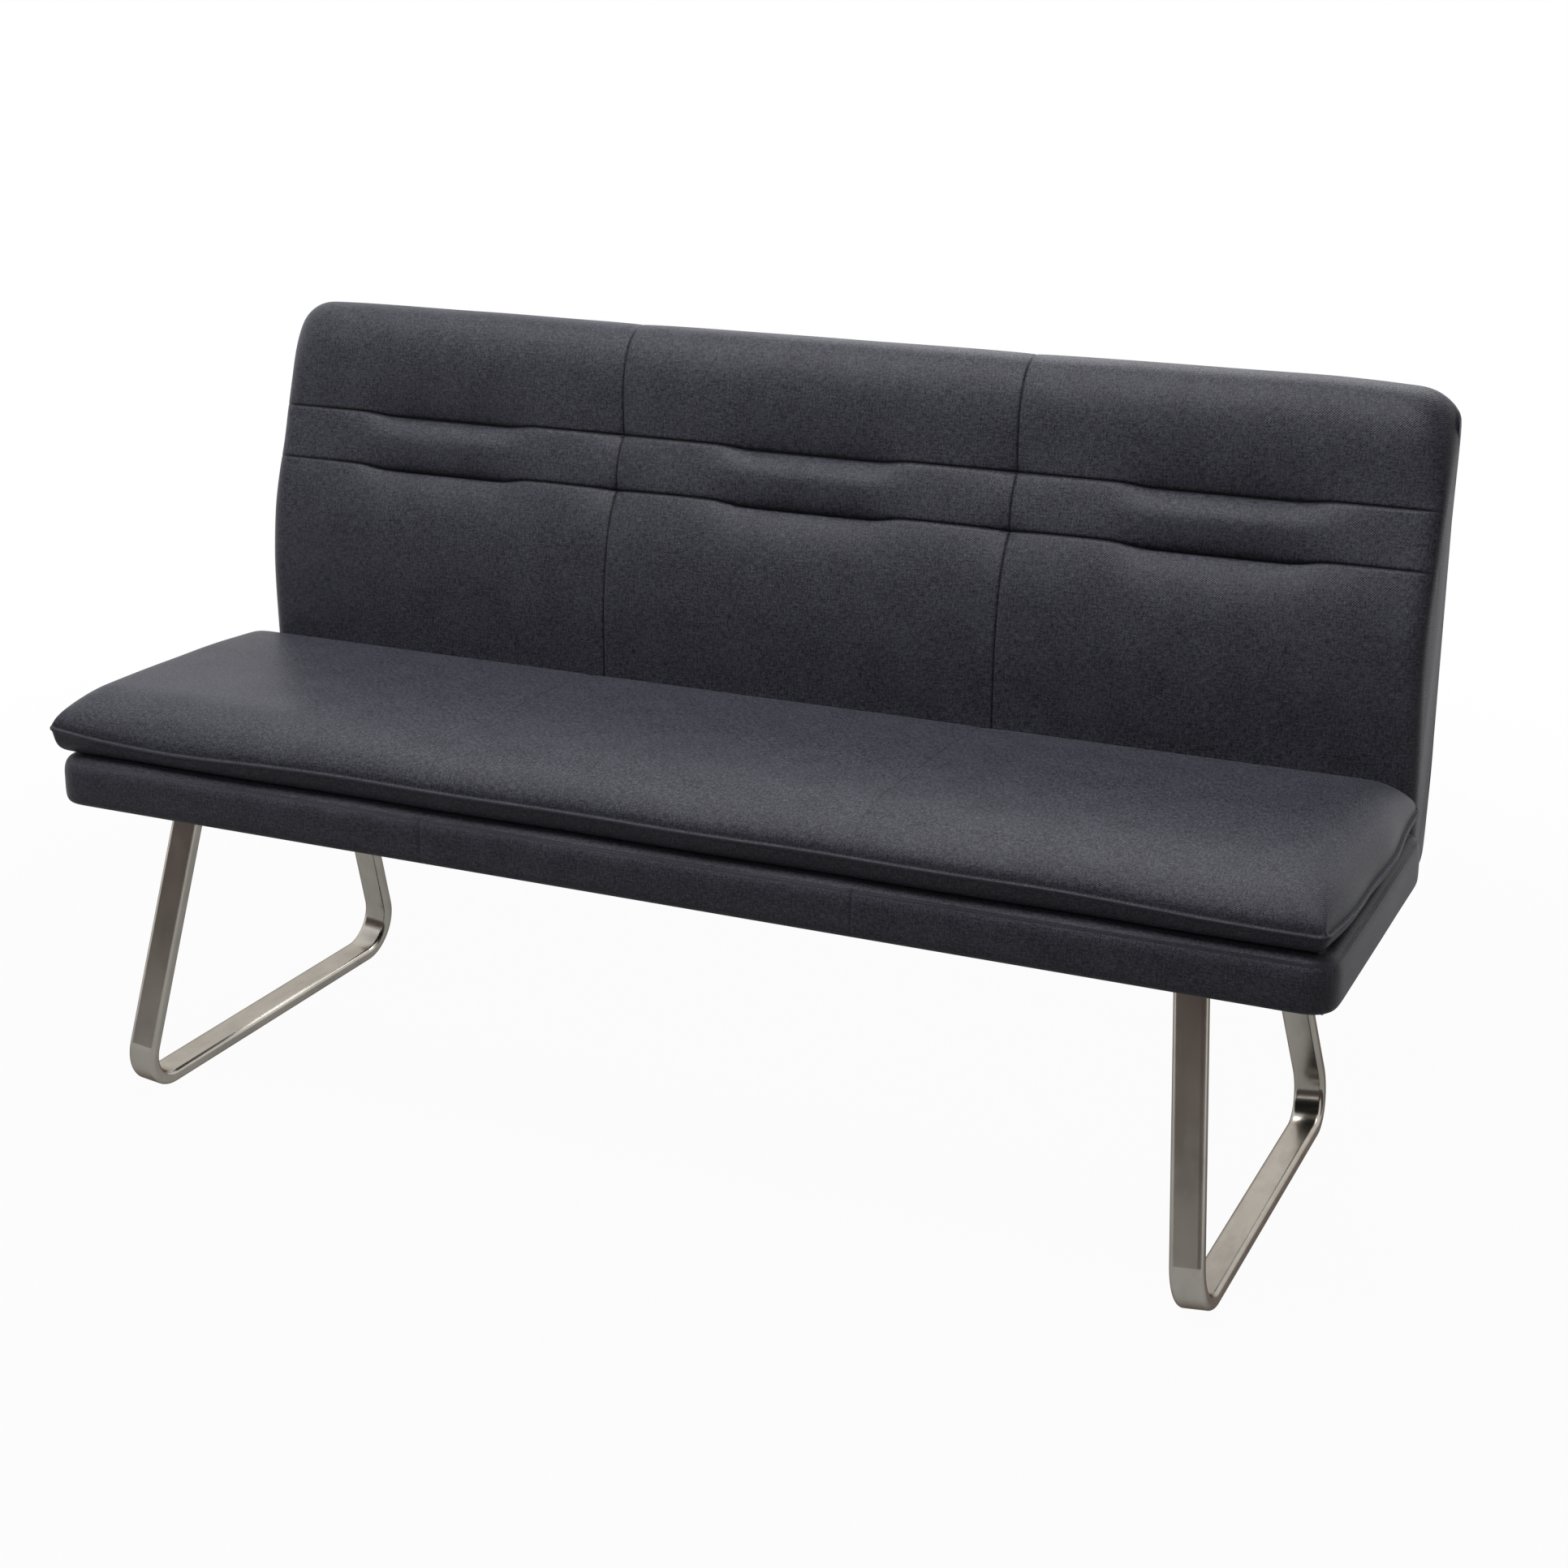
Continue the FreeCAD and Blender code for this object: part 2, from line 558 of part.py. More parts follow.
def outline(x, start, steps):
    """A closed wire across the bench at x: each step is an end, or a point on the way and an end."""
    def place(spot):
        return FreeCAD.Vector(x, spot[0] + size("seat_front"), spot[1])

    edges = []
    here = start
    for step in steps:
        if len(step) == 1:
            edges.append(Part.LineSegment(place(here), place(step[0])).toShape())
        else:
            edges.append(Part.Arc(place(here), place(step[0]), place(step[1])).toShape())
        here = step[-1]
    return Part.Wire(edges)


def lofted(name, wires):
    """A solid with straight runs from each outline to the next."""
    form = doc.addObject("Part::Feature", name)
    form.Shape = Part.makeLoft(wires, True, True)
    return form


def both_ways(stations):
    """Stations listed from the right end inwards, mirrored to the left end."""
    return stations + [(-first[0],) + tuple(first[1:]) for first in reversed(stations) if first[0] > 0]


def cushion_stations(root):
    """Places along the cushion with its fullness there: round ends, and a dip at each cross seam."""
    roll = size("cushion_end_roll")
    flat = root - roll
    stations = []
    for turn in (84, 68, 46, 22, 0):
        angle = math.radians(turn)
        stations.append((flat + roll * math.sin(angle), math.cos(angle), 1 - math.cos(angle)))
    seam = size("seam_x")
    spread = size("seam_spread")
    dip = 1 - size("seam_draw") / size("cushion_crown")
    stations += [(seam + spread, 1, 0), (seam, dip, 0), (seam - spread, 1, 0)]
    return stations


def cushion_levels():
    """The sewn edge's height and half thickness."""
    half = size("cushion_flange_thickness") / 2
    seat_top = size("seat_bottom") + size("seat_height") + size("soft_gap")
    return seat_top + size("cushion_belly") + half, half


def cushion_outline(x, full, drawn):
    """One cross section of the filled cover with its flat sewn edge front and rear."""
    middle, half = cushion_levels()
    pull = drawn * size("cushion_corner_draw")
    front = -size("cushion_overhang") + pull
    rear = size("seat_depth") - pull
    lip = size("cushion_flange")
    top = middle + half
    low = middle - half
    crown = full * size("cushion_crown")
    belly = full * size("cushion_belly")
    fall = full * size("cushion_rear_fall")
    swell = full * size("cushion_swell")
    nose = size("cushion_front_roll")
    tail = size("cushion_rear_roll")
    under = size("cushion_belly_roll")
    steps = [
        ((front, top),),
        ((front + lip, top),),
        ((front + lip + 0.27 * nose, top + 0.72 * crown), (front + lip + nose, top + crown)),
        (((front + rear) / 2, top + crown + swell), (rear - lip - tail, top + crown - fall)),
        ((rear - lip - 0.23 * tail, top + 0.62 * (crown - fall)), (rear - lip, top)),
        ((rear, top),),
        ((rear, low),),
        ((rear - lip, low),),
        ((rear - lip - 0.35 * under, low - 0.7 * belly), (rear - lip - under, low - belly)),
        ((front + lip + under, low - belly),),
        ((front + lip + 0.35 * under, low - 0.7 * belly), (front + lip, low)),
        ((front, low),),
    ]
    return outline(x, (front, low), steps)


def filling_outline(x, full, drawn):
    """One cross section of the cushion's filling, inside its cover."""
    middle, half = cushion_levels()
    skin = size("cover_thickness")
    pull = drawn * size("cushion_corner_draw")
    front = -size("cushion_overhang") + size("cushion_flange") + pull + 3 * skin
    rear = size("seat_depth") - size("cushion_flange") - pull - 3 * skin
    crown = full * size("cushion_crown") + half - skin
    belly = full * size("cushion_belly") + half - skin
    fall = full * size("cushion_rear_fall")
    swell = full * size("cushion_swell")
    nose = size("cushion_front_roll") - 2 * skin
    tail = size("cushion_rear_roll") - 2 * skin
    under = size("cushion_belly_roll") - 2 * skin
    rim = half / 4
    steps = [
        ((front, middle + rim),),
        ((front + 0.25 * nose, middle + 0.68 * crown), (front + nose, middle + crown)),
        (((front + rear) / 2, middle + crown + swell), (rear - tail, middle + crown - fall)),
        ((rear - 0.22 * tail, middle + 0.56 * (crown - fall)), (rear, middle + rim)),
        ((rear, middle - rim),),
        ((rear - 0.34 * under, middle - 0.66 * belly), (rear - under, middle - belly)),
        ((front + under, middle - belly),),
        ((front + 0.34 * under, middle - 0.66 * belly), (front, middle - rim)),
    ]
    return outline(x, (front, middle - rim), steps)


def cushion():
    """A loose cushion: a filled cover with a sewn edge all round, and its filling."""
    tip = size("seat_length") / 2 + size("cushion_end_overhang")
    root = tip - size("cushion_flange")
    rim = [(tip, 0.01, 1.0), (root + 0.5, 0.01, 0.9)]
    covers = [cushion_outline(*spot) for spot in both_ways(rim + cushion_stations(root))]
    inner = root - 4 * size("cover_thickness")
    fillings = [filling_outline(*spot) for spot in both_ways(cushion_stations(inner))]
    filling = node(lofted("CushionFilling", fillings), "cushion_filling")
    node(cut("CushionCover", lofted("CushionOutside", covers), filling), "cushion_cover")


def stile_levels():
    """Heights of the stile's bend and of its top."""
    bend = (size("back_bottom") + size("back_top_z")) / 2 - size("stile_bend_drop")
    return bend, size("back_top_z") - size("stile_top_drop")


def roll_set():
    """How far the rolled top lies behind the back's face: just in front of the leaning top rail."""
    bend, top = stile_levels()
    lean = math.radians(size("stile_angle"))
    board = size("back_board")
    run = top - bend - size("top_rail_drop")
    rail = size("back_rail_set") + board + run * math.sin(lean) - board * math.cos(lean)
    return rail - size("roll_clearance")


def back_outline(x, inset, draw):
    """One cross section of the back: a straight foot, two sewn channels and a rolled top."""
    face = size("seat_depth") + size("soft_gap")
    foot = size("back_bottom")
    corner = size("back_bottom_corner")
    front = face + roll_set()
    top_z = size("back_top_z")
    low_y = front - size("channel_step") + draw
    low_z = top_z - size("lower_channel_drop")
    up_y = front + draw
    up_z = top_z - size("upper_channel_drop")
    bend = (foot + low_z) / 2 + size("face_bend_rise")
    puff = size("roll_puff")
    top_y = front + size("back_crest_set")
    rear_low = face + size("back_depth_bottom")
    rear_top = front + size("roll_depth")
    turn = size("back_top_turn")
    swell = size("back_rear_swell")
    cheek = corner * (1 - math.sqrt(0.5))
    nape_y = top_y + (rear_top - top_y) * math.sqrt(0.5)
    nape_z = top_z - turn * (1 - math.sqrt(0.5))
    roll_z = (up_z + top_z) / 2
    band_z = (low_z + up_z) / 2
    shoulder = size("channel_shoulder")
    shoulder_set = size("channel_shoulder_set")
    bulge = (low_y - draw - puff / 2, front - puff / 2)
    brow_z = roll_z + size("roll_brow")
    # each point: y, z and the way that it moves when the outline is drawn in
    shape = [
        ((face, bend, 1, 0),),
        ((face + shoulder_set / 3, (bend + low_z - shoulder) / 2, 1, 0),
         (face + shoulder_set, low_z - shoulder, 1, 0)),
        ((face + 2 * shoulder_set, low_z - 0.44 * shoulder, 0.8, -0.4), (low_y, low_z, 1, 0)),
        ((bulge[0], band_z, 1, 0), (up_y, up_z, 1, 0)),
        ((bulge[1], (up_z + roll_z) / 2, 1, 0), (front, roll_z + puff, 1, 0)),
        ((front + size("roll_brow_set"), brow_z, 0.8, -0.6), (top_y, top_z, 0, -1)),
        ((nape_y, nape_z, -0.6, -0.7), (rear_top, top_z - turn, -0.8, 0)),
        ((rear_low + swell, (foot + top_z) / 2, -0.6, 0), (rear_low, foot + corner, -0.4, 0)),
        ((rear_low - cheek, foot + cheek, -0.5, 0.5), (rear_low - corner, foot, 0, 1)),
        ((face + corner, foot, 0, 1),),
        ((face + cheek, foot + cheek, 0.7, 0.7), (face, foot + corner, 1, 0)),
    ]
    moved = [[(y + inset * a, z + inset * b) for y, z, a, b in step] for step in shape]
    return outline(x, moved[-1][-1], moved)


def back_stations(skin):
    """Places along the back with the draw-in there: round ends, seams and gathered channels."""
    half = size("seat_length") / 2 - size("back_end_setback") - skin
    end = size("back_end_round") - skin
    seam = size("seam_x")
    stations = []
    for turn in (68, 40, 0):
        angle = math.radians(turn)
        stations.append((half - end + end * math.sin(angle), end * (1 - math.cos(angle)), 0))
    deep = size("channel_draw")
    reach = size("channel_draw_half")
    run = size("channel_draw_run")
    middle = (seam + half + skin) / 2
    stations += [(middle + reach + run, 0, 0), (middle + reach, 0, deep), (middle - reach, 0, deep),
                 (middle - reach - run, 0, 0), (seam, size("seam_draw"), 0), (reach + run, 0, 0),
                 (reach, 0, deep)]
    return both_ways([(x, inset + skin, draw) for x, inset, draw in stations])


def stile(name, x, label):
    """An upright board with its upper half leaning back."""
    body = doc.addObject("PartDesign::Body", name + "Body")
    sketch = sketch_on(body, name + "Outline", "YZ_Plane")
    deep = size("stile_depth")
    lean = math.radians(size("stile_angle"))
    foot = size("back_bottom") + size("back_rail_lift")
    bend_z, top_z = stile_levels()
    bend = bend_z - foot
    rise = top_z - bend_z
    spots = [(0, 0), (deep, 0), (deep, bend - deep * math.tan(lean / 2)),
             (deep * math.cos(lean) + rise * math.tan(lean), bend + rise - deep * math.sin(lean)),
             (rise * math.tan(lean), bend + rise), (0, bend)]
    corners = [FreeCAD.Vector(u, v) for u, v in spots]
    lines = [sketch.addGeometry(Part.LineSegment(corners[i], corners[(i + 1) % 6])) for i in range(6)]
    for i in range(6):
        sketch.addConstraint(Sketcher.Constraint("Coincident", lines[i], 2, lines[(i + 1) % 6], 1))
    sketch.addConstraint(Sketcher.Constraint("Coincident", lines[0], 1, -1, 1))
    sketch.addConstraint(Sketcher.Constraint("Horizontal", lines[0]))
    sketch.addConstraint(Sketcher.Constraint("Vertical", lines[1]))
    sketch.addConstraint(Sketcher.Constraint("Vertical", lines[5]))
    sketch.addConstraint(Sketcher.Constraint("Parallel", lines[2], lines[4]))
    sketch.addConstraint(Sketcher.Constraint("Perpendicular", lines[3], lines[4]))
    height = "%s - back_bottom - back_rail_lift" % STILE_BEND
    climb = "%s - %s" % (STILE_TOP, STILE_BEND)
    named(sketch, Sketcher.Constraint("DistanceX", lines[0], 1, lines[0], 2, deep), "deep", "stile_depth")
    named(sketch, Sketcher.Constraint("DistanceY", lines[5], 2, lines[5], 1, bend), "bend", height)
    named(sketch, Sketcher.Constraint("DistanceY", lines[1], 1, lines[1], 2, corners[2].y), "rear_bend",
          height + " - stile_depth * tan(stile_angle * 0.5 deg)")
    named(sketch, Sketcher.Constraint("DistanceX", lines[4], 2, lines[4], 1, corners[4].x), "lean_across",
          "(%s) * tan%s" % (climb, STILE_TILT))
    named(sketch, Sketcher.Constraint("DistanceY", lines[4], 2, lines[4], 1, rise), "lean_rise", climb)
    doc.recompute()
    pad = body.newObject("PartDesign::Pad", name + "Pad")
    pad.Profile = sketch
    pad.SideType = "Symmetric"
    bind(pad, Length="back_board")
    body.Tip = pad
    bind(body, Placement__Base__x=x, Placement__Base__y="seat_front + " + STILE_Y,
         Placement__Base__z="back_bottom + back_rail_lift")
    return node(body, label)


def back_frame():
    """Four stiles behind three rails, bolted through to the seat's rear rail."""
    stiles = []
    for sign, side, minus in SIDES:
        title = side.capitalize()
        stiles.append(stile(title + "OuterStile", minus + OUTER_STILE_X, "back_%s_outer_stile" % side))
        stiles.append(stile(title + "InnerStile", minus + "seam_x", "back_%s_inner_stile" % side))
    left = "-%s / 2" % BACK_RAIL_LENGTH
    low = box("BackLowBlank", left, BACK_RAIL_Y, "back_bottom + back_rail_lift", BACK_RAIL_LENGTH,
              "back_board", "back_rail_height")
    low = cut("BackLow", low, across_holes("BackLowHole", BACK_RAIL_Y, "back_board"))
    node(low, "back_bottom_rail")
    middle = node(box("BackMiddle", left, BACK_RAIL_Y, STILE_BEND + " - middle_rail_drop",
                      BACK_RAIL_LENGTH, "back_board", "back_rail_height"), "back_middle_rail")
    tilt = {"run": TOP_RAIL_RUN, "lean": STILE_TILT, "y": STILE_Y, "z": STILE_BEND}
    high = box("BackHigh", left, "%(y)s + %(run)s * sin%(lean)s - back_board * cos%(lean)s" % tilt,
               "%(z)s + %(run)s * cos%(lean)s + back_board * sin%(lean)s" % tilt,
               BACK_RAIL_LENGTH, "back_board", "back_rail_height")
    high.Placement = FreeCAD.Placement(high.Placement.Base,
                                       FreeCAD.Rotation(FreeCAD.Vector(-1, 0, 0), size("stile_angle")))
    bind(high, Placement__Rotation__Angle=STILE_TILT)
    node(high, "back_top_rail")
    return stiles + [low, middle, high]


def back_fasteners():
    """Bolts from the seat's rear rail into nuts behind the back's bottom rail."""
    bolts = []
    nuts = []
    shank = "%s + back_nut_height - %s" % (STILE_Y, REAR_RAIL_Y)
    for tag, x, z in back_bolt_spots():
        head = level(tag + "BackHead", x, REAR_RAIL_Y + " - back_bolt_head_height", z, "back_bolt_head / 2",
                     "back_bolt_head_height")
        rod = level(tag + "BackShank", x, REAR_RAIL_Y, z, "back_bolt_diameter / 2", shank)
        bolts.append(fuse(tag + "BackBolt", [head, rod]))
        blank = level(tag + "BackNutBlank", x, STILE_Y, z, "back_bolt_head / 2", "back_nut_height")
        bore = level(tag + "BackNutBore", x, STILE_Y, z, "back_bolt_diameter / 2 + fit_gap",
                     "back_nut_height")
        nuts.append(cut(tag + "BackNut", blank, bore))
    node(group("BackBolts", bolts), "back_bolts")
    return node(group("BackNuts", nuts), "back_nuts")


def back_upholstery(frame, nuts):
    """The back's cover with its channels, and the padding between cover and frame."""
    outside = lofted("BackOutside", [back_outline(*spot) for spot in back_stations(0)])
    inside = lofted("BackInside", [back_outline(*spot) for spot in back_stations(size("cover_thickness"))])
    holes = across_holes("BackCoverHole", "seat_depth", "%s + back_nut_height - seat_depth" % STILE_Y)
    node(cut("BackCover", cut("BackSkin", outside, inside), holes), "back_cover")
    node(cut("BackPadding", inside, fuse("BackPaddingRoom", frame + [nuts, holes])), "back_padding")


for sign, side, minus in SIDES:
    skid(sign, side)
    for end in ENDS:
        glide(sign, side, end)
bolt_spots = leg_spots()
leg_plates(bolt_spots)
leg_fasteners(bolt_spots)
seat_frame(bolt_spots)
seat_upholstery(bolt_spots)
cushion()
frame_pieces = back_frame()
back_nuts = back_fasteners()
back_upholstery(frame_pieces, back_nuts)

doc.recompute()
for thing in doc.Objects:
    if "Invalid" in thing.State or "Error" in thing.State:
        raise RuntimeError("%s did not build: %s" % (thing.Name, thing.State))
for thing in nodes:
    if thing.Shape.isNull() or not thing.Shape.isValid():
        raise RuntimeError("%s has no valid shape" % thing.Label)
os.makedirs("parts", exist_ok=True)
for thing in nodes:
    thing.Shape.exportStep("parts/%s.step" % thing.Label)
print("%d sub-parts written" % len(nodes))
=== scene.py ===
import math

import bmesh
import bpy
import numpy as np
from bpy.props import FloatProperty, FloatVectorProperty, PointerProperty
from mathutils import Matrix, Vector, noise


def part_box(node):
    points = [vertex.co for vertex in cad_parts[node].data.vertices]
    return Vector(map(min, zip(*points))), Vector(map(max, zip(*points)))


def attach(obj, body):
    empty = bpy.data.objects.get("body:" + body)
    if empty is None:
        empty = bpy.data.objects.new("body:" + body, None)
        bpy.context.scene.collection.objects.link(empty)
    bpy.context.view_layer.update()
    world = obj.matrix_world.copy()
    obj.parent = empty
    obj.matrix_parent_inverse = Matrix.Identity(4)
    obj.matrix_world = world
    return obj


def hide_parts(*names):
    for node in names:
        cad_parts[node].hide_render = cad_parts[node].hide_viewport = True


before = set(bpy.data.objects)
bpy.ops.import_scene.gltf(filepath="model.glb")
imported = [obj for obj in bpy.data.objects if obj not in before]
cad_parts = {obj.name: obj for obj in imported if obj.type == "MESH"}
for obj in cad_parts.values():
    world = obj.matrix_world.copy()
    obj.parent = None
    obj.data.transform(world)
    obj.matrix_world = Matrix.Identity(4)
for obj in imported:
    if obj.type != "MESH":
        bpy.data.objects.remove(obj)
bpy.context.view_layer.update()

bl_info = {
    "name": "Upholstered dining bench",
    "version": (1, 0, 0),
    "blender": (4, 5, 0),
    "location": "View3D > Sidebar > Bench",
    "description": "Dresses the packed frame of an upholstered dining bench on two steel skids",
    "category": "Object",
}

SEAT_LOW, SEAT_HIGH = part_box("seat_cover")
CUSHION_LOW, CUSHION_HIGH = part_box("cushion_cover")
BACK_LOW, BACK_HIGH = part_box("back_cover")
WEAVE = "weave"
# Attribute of painted shade along the sewn lines, read by the cloth's material
SEAM_SHADE = "seam_shade"

# How a cover settles on its filling: frames run, pressure, spare share of cloth, farthest move in
# metres, rounds and share of evening out, and how free a point has to be to follow all the way.
SETTLE_FRAMES = 20
PRESSURE = 3.0
SPARE_CLOTH = 0.004
FARTHEST_MOVE = 0.002
EVEN_ROUNDS = 16
EVEN_SHARE = 0.6
FREE_ENOUGH = 0.4

# Height of the cushion's sewn edge at its rounded middle, and how far a stitch stands on it.
FLANGE_BEAD = 0.0008
STITCH_LIFT = 0.0002

# Studio: each light's name, place, target, size and watts, and each reflected dark card's name,
# place, turn and half size.
LIGHTS = (
    ("top_light", (-0.1, -0.58, 2.45), (-0.1, -0.20, 0.5), (2.6, 0.9), 50.0),
    ("rear_light", (0.0, 2.3, 2.8), (0.0, 0.3, 0.6), (2.6, 1.2), 46.0),
    ("front_light", (-1.2, -3.4, 2.9), (0.0, 0.0, 0.6), (2.2, 1.6), 16.0),
)
# The cards are a painted reflection: dim glowing sheets seen only by glossy rays, standing in for a
# dark room in the steel.
CARDS = (
    ("front_card", (0.0, -5.2, 2.3), 0.0, (6.5, 2.3)),
    ("side_card", (5.5, -0.8, 2.0), math.pi / 2, (4.3, 2.0)),
)
CARD_COLOUR = (0.05, 0.045, 0.042)
CARD_GLOW = (0.075, 0.053, 0.049)
AMBIENT_COLOUR = (0.92, 0.95, 1.0)
AMBIENT_STRENGTH = 0.05
WHITE = (1.0, 1.0, 1.0, 1.0)

# The floor turns wholly white between these distances. Nearer, the camera and the steel see these
# shares of white, and the rest is the floor's own shading.
FLOOR_SIZE = 60.0
SHADED_TO, WHITE_FROM = 0.9, 2.6
NEAR_WHITE = {"camera": 0.965, "steel": 0.40}

CAMERA_PLACE = (1.2943, -2.7231, 1.4280)
CAMERA_RIGHT = (0.91096, 0.41247, 0.00470)
CAMERA_UP = (-0.13523, 0.28785, 0.94808)
CAMERA_BACK = (0.38970, -0.86430, 0.31800)
CAMERA_LENS = 60.28
CAMERA_SENSOR = 36.0
CAMERA_REACH = 400.0

# Side view of the back, measured back from the seat's front edge and up from the floor, in
# millimetres. The three front runs meet at the two sewn lines.
BACK_FACE = (
    (447.2, 372), (446.9, 430), (446.0, 500), (446.0, 540), (447.6, 578), (452.6, 620),
    (459.0, 656), (466.5, 682), (473.5, 702), (478.8, 716),
)
BACK_BAND = ((478.8, 716), (485.5, 733), (490.6, 748), (495.6, 765), (499.8, 782))
BACK_ROLL = (
    (499.8, 782), (503.4, 800), (506.8, 824), (509.6, 846), (514.2, 866),
    (522.6, 885), (534.0, 900.2), (549.0, 910.4), (565.0, 914.2),
)
BACK_REAR = (
    (565.0, 914.2), (577.5, 911.2), (586.0, 902.0), (590.4, 887), (590.4, 866), (582.0, 780),
    (566.0, 600), (549.0, 420), (545.0, 375), (543.0, 360), (534.0, 349), (518.0, 345.2),
    (494.0, 345.0), (471.0, 345.2), (457.0, 349), (449.0, 359), (447.2, 372),
)


class BenchShape(bpy.types.PropertyGroup):
    """Sizes of the soft pieces and of their sewing."""

    seam_x: FloatProperty(
        name="Seam place", description="Vertical seams, each side of the middle",
        default=0.267, unit="LENGTH")
    seam_depth: FloatProperty(
        name="Seam depth", description="How far the thread draws a seam in",
        default=0.0024, unit="LENGTH")
    panel_puff: FloatProperty(
        name="Panel puff", description="How far a panel of the back stands out between its seams",
        default=0.005, unit="LENGTH")
    gather_depth: FloatProperty(
        name="Gather depth", description="How far the sewn lines are drawn in at a panel's middle",
        default=0.014, unit="LENGTH")
    gather_half: FloatProperty(
        name="Gather half length", description="Half the length that is drawn in",
        default=0.108, unit="LENGTH")
    gather_sag: FloatProperty(
        name="Gather sag", description="How far a drawn in line drops",
        default=0.004, unit="LENGTH")
    end_roll: FloatProperty(
        name="End roll", description="Rounding of the back's two ends",
        default=0.024, unit="LENGTH")
    rear_roll: FloatProperty(
        name="Rear end roll", description="Rounding of the two ends behind",
        default=0.014, unit="LENGTH")
    cushion_roll: FloatProperty(
        name="Cushion roll", description="How far in the cushion's top rises from its sewn edge",
        default=0.036, unit="LENGTH")
    cushion_shift: FloatProperty(
        name="Cushion shift", description="How far the loose cushion lies off the middle",
        default=-0.005, unit="LENGTH")
    cushion_setback: FloatProperty(
        name="Cushion setback",
        description="How far the cushion's front edge lies behind its plain solid's",
        default=0.009, unit="LENGTH")
    top_roll: FloatProperty(
        name="Top end roll", description="Rounding of the two ends at the top of the back",
        default=0.050, unit="LENGTH")
    flange: FloatProperty(
        name="Flange", description="Width of the cushion's sewn edge",
        default=0.0048, unit="LENGTH")
    flange_thickness: FloatProperty(
        name="Flange thickness", description="Thickness of the cushion's sewn edge",
        default=0.0032, unit="LENGTH")
    flange_height: FloatProperty(
        name="Flange height", description="Height of the sewn edge above the floor",
        default=0.4578, unit="LENGTH")
    stitch_pitch: FloatProperty(
        name="Stitch pitch", description="From one stitch to the next",
        default=0.0046, unit="LENGTH")
    thread: FloatProperty(
        name="Thread", description="Thickness of the sewing thread",
        default=0.0008, unit="LENGTH")
    rib_pitch: FloatProperty(
        name="Rib pitch", description="From one rib of the twill to the next",
        default=0.0023, unit="LENGTH")


class BenchColours(bpy.types.PropertyGroup):
    """Colours of the bench's finishes."""

    cloth_dark: FloatVectorProperty(
        name="Cloth, dark yarn", description="Darkest yarn of the twill",
        default=(0.0122, 0.0122, 0.0158), subtype="COLOR", min=0.0, max=1.0)
    cloth_light: FloatVectorProperty(
        name="Cloth, light yarn", description="Lightest yarn of the twill",
        default=(0.106, 0.106, 0.134), subtype="COLOR", min=0.0, max=1.0)
    thread: FloatVectorProperty(
        name="Thread", description="Sewing thread",
        default=(0.050, 0.051, 0.060), subtype="COLOR", min=0.0, max=1.0)
    steel: FloatVectorProperty(
        name="Steel", description="Brushed stainless steel",
        default=(0.57, 0.54, 0.485), subtype="COLOR", min=0.0, max=1.0)
    zinc: FloatVectorProperty(
        name="Zinc", description="Bright zinc of the fasteners",
        default=(0.66, 0.67, 0.68), subtype="COLOR", min=0.0, max=1.0)
    glide: FloatVectorProperty(
        name="Glide", description="Dark moulded plastic of the glides",
        default=(0.018, 0.018, 0.019), subtype="COLOR", min=0.0, max=1.0)
    lining: FloatVectorProperty(
        name="Lining", description="Black lining under the seat",
        default=(0.012, 0.012, 0.013), subtype="COLOR", min=0.0, max=1.0)
    softwood: FloatVectorProperty(
        name="Softwood", description="Rails and stiles inside the upholstery",
        default=(0.62, 0.42, 0.24), subtype="COLOR", min=0.0, max=1.0)
    plywood: FloatVectorProperty(
        name="Plywood", description="Deck inside the seat",
        default=(0.55, 0.38, 0.23), subtype="COLOR", min=0.0, max=1.0)
    floor: FloatVectorProperty(
        name="Floor", description="Plain pale studio floor",
        default=(0.30, 0.30, 0.30), subtype="COLOR", min=0.0, max=1.0)


# Rulings and curves

def graded(length, step, first, last):
    """Places from 0 to length: close together at the two ends and a step apart between."""
    ends = []
    for size in (first, last):
        places = [0.0]
        while size < step and places[-1] + size < 0.4 * length:
            places.append(places[-1] + size)
            size *= 1.5
        ends.append(places)
    start, stop = ends[0][-1], length - ends[1][-1]
    count = max(1, round((stop - start) / step))
    middle = np.linspace(start, stop, count + 1)[1:-1]
    return np.concatenate([ends[0], middle, length - np.array(ends[1][::-1])])


def seamed_ruling(low, high, step, edge, seams, close):
    """Places from low to high, closer at both edges and at each seam."""
    stops = [low, *seams, high]
    runs = []
    for n, (start, stop) in enumerate(zip(stops, stops[1:])):
        first = edge if n == 0 else close
        last = edge if n == len(stops) - 2 else close
        runs.append(start + graded(stop - start, step, first, last)[: None if stop == high else -1])
    return np.concatenate(runs)


def smooth_run(points, places):
    """Points of a smooth line through the given ones, at shares of its length."""
    points = np.array(points, float)
    chord = np.concatenate([[0.0], np.cumsum(np.linalg.norm(np.diff(points, axis=0), axis=1))])
    slope = np.gradient(points, chord, axis=0)
    fine = np.linspace(0, chord[-1], 40 * len(points))
    cell = np.clip(np.searchsorted(chord, fine, side="right") - 1, 0, len(points) - 2)
    span = (chord[cell + 1] - chord[cell])[:, None]
    t = (fine - chord[cell])[:, None] / span
    line = ((1 + 2 * t) * (1 - t) ** 2 * points[cell] + t * (1 - t) ** 2 * span * slope[cell]
            + t ** 2 * (3 - 2 * t) * points[cell + 1] + t ** 2 * (t - 1) * span * slope[cell + 1])
    run = np.concatenate([[0.0], np.cumsum(np.linalg.norm(np.diff(line, axis=0), axis=1))])
    wanted = places / places[-1] * run[-1]
    return np.stack([np.interp(wanted, run, line[:, k]) for k in (0, 1)], axis=1)


def ease(t):
    """0 below 0, 1 above 1 and smooth between."""
    t = np.clip(t, 0, 1)
    return t * t * (3 - 2 * t)


def rising(distance, width, power):
    """How far a padded sheet has risen at a distance from its sewn edge, from 0 to 1."""
    return 1 - (1 - np.clip(distance / width, 0, 1)) ** power


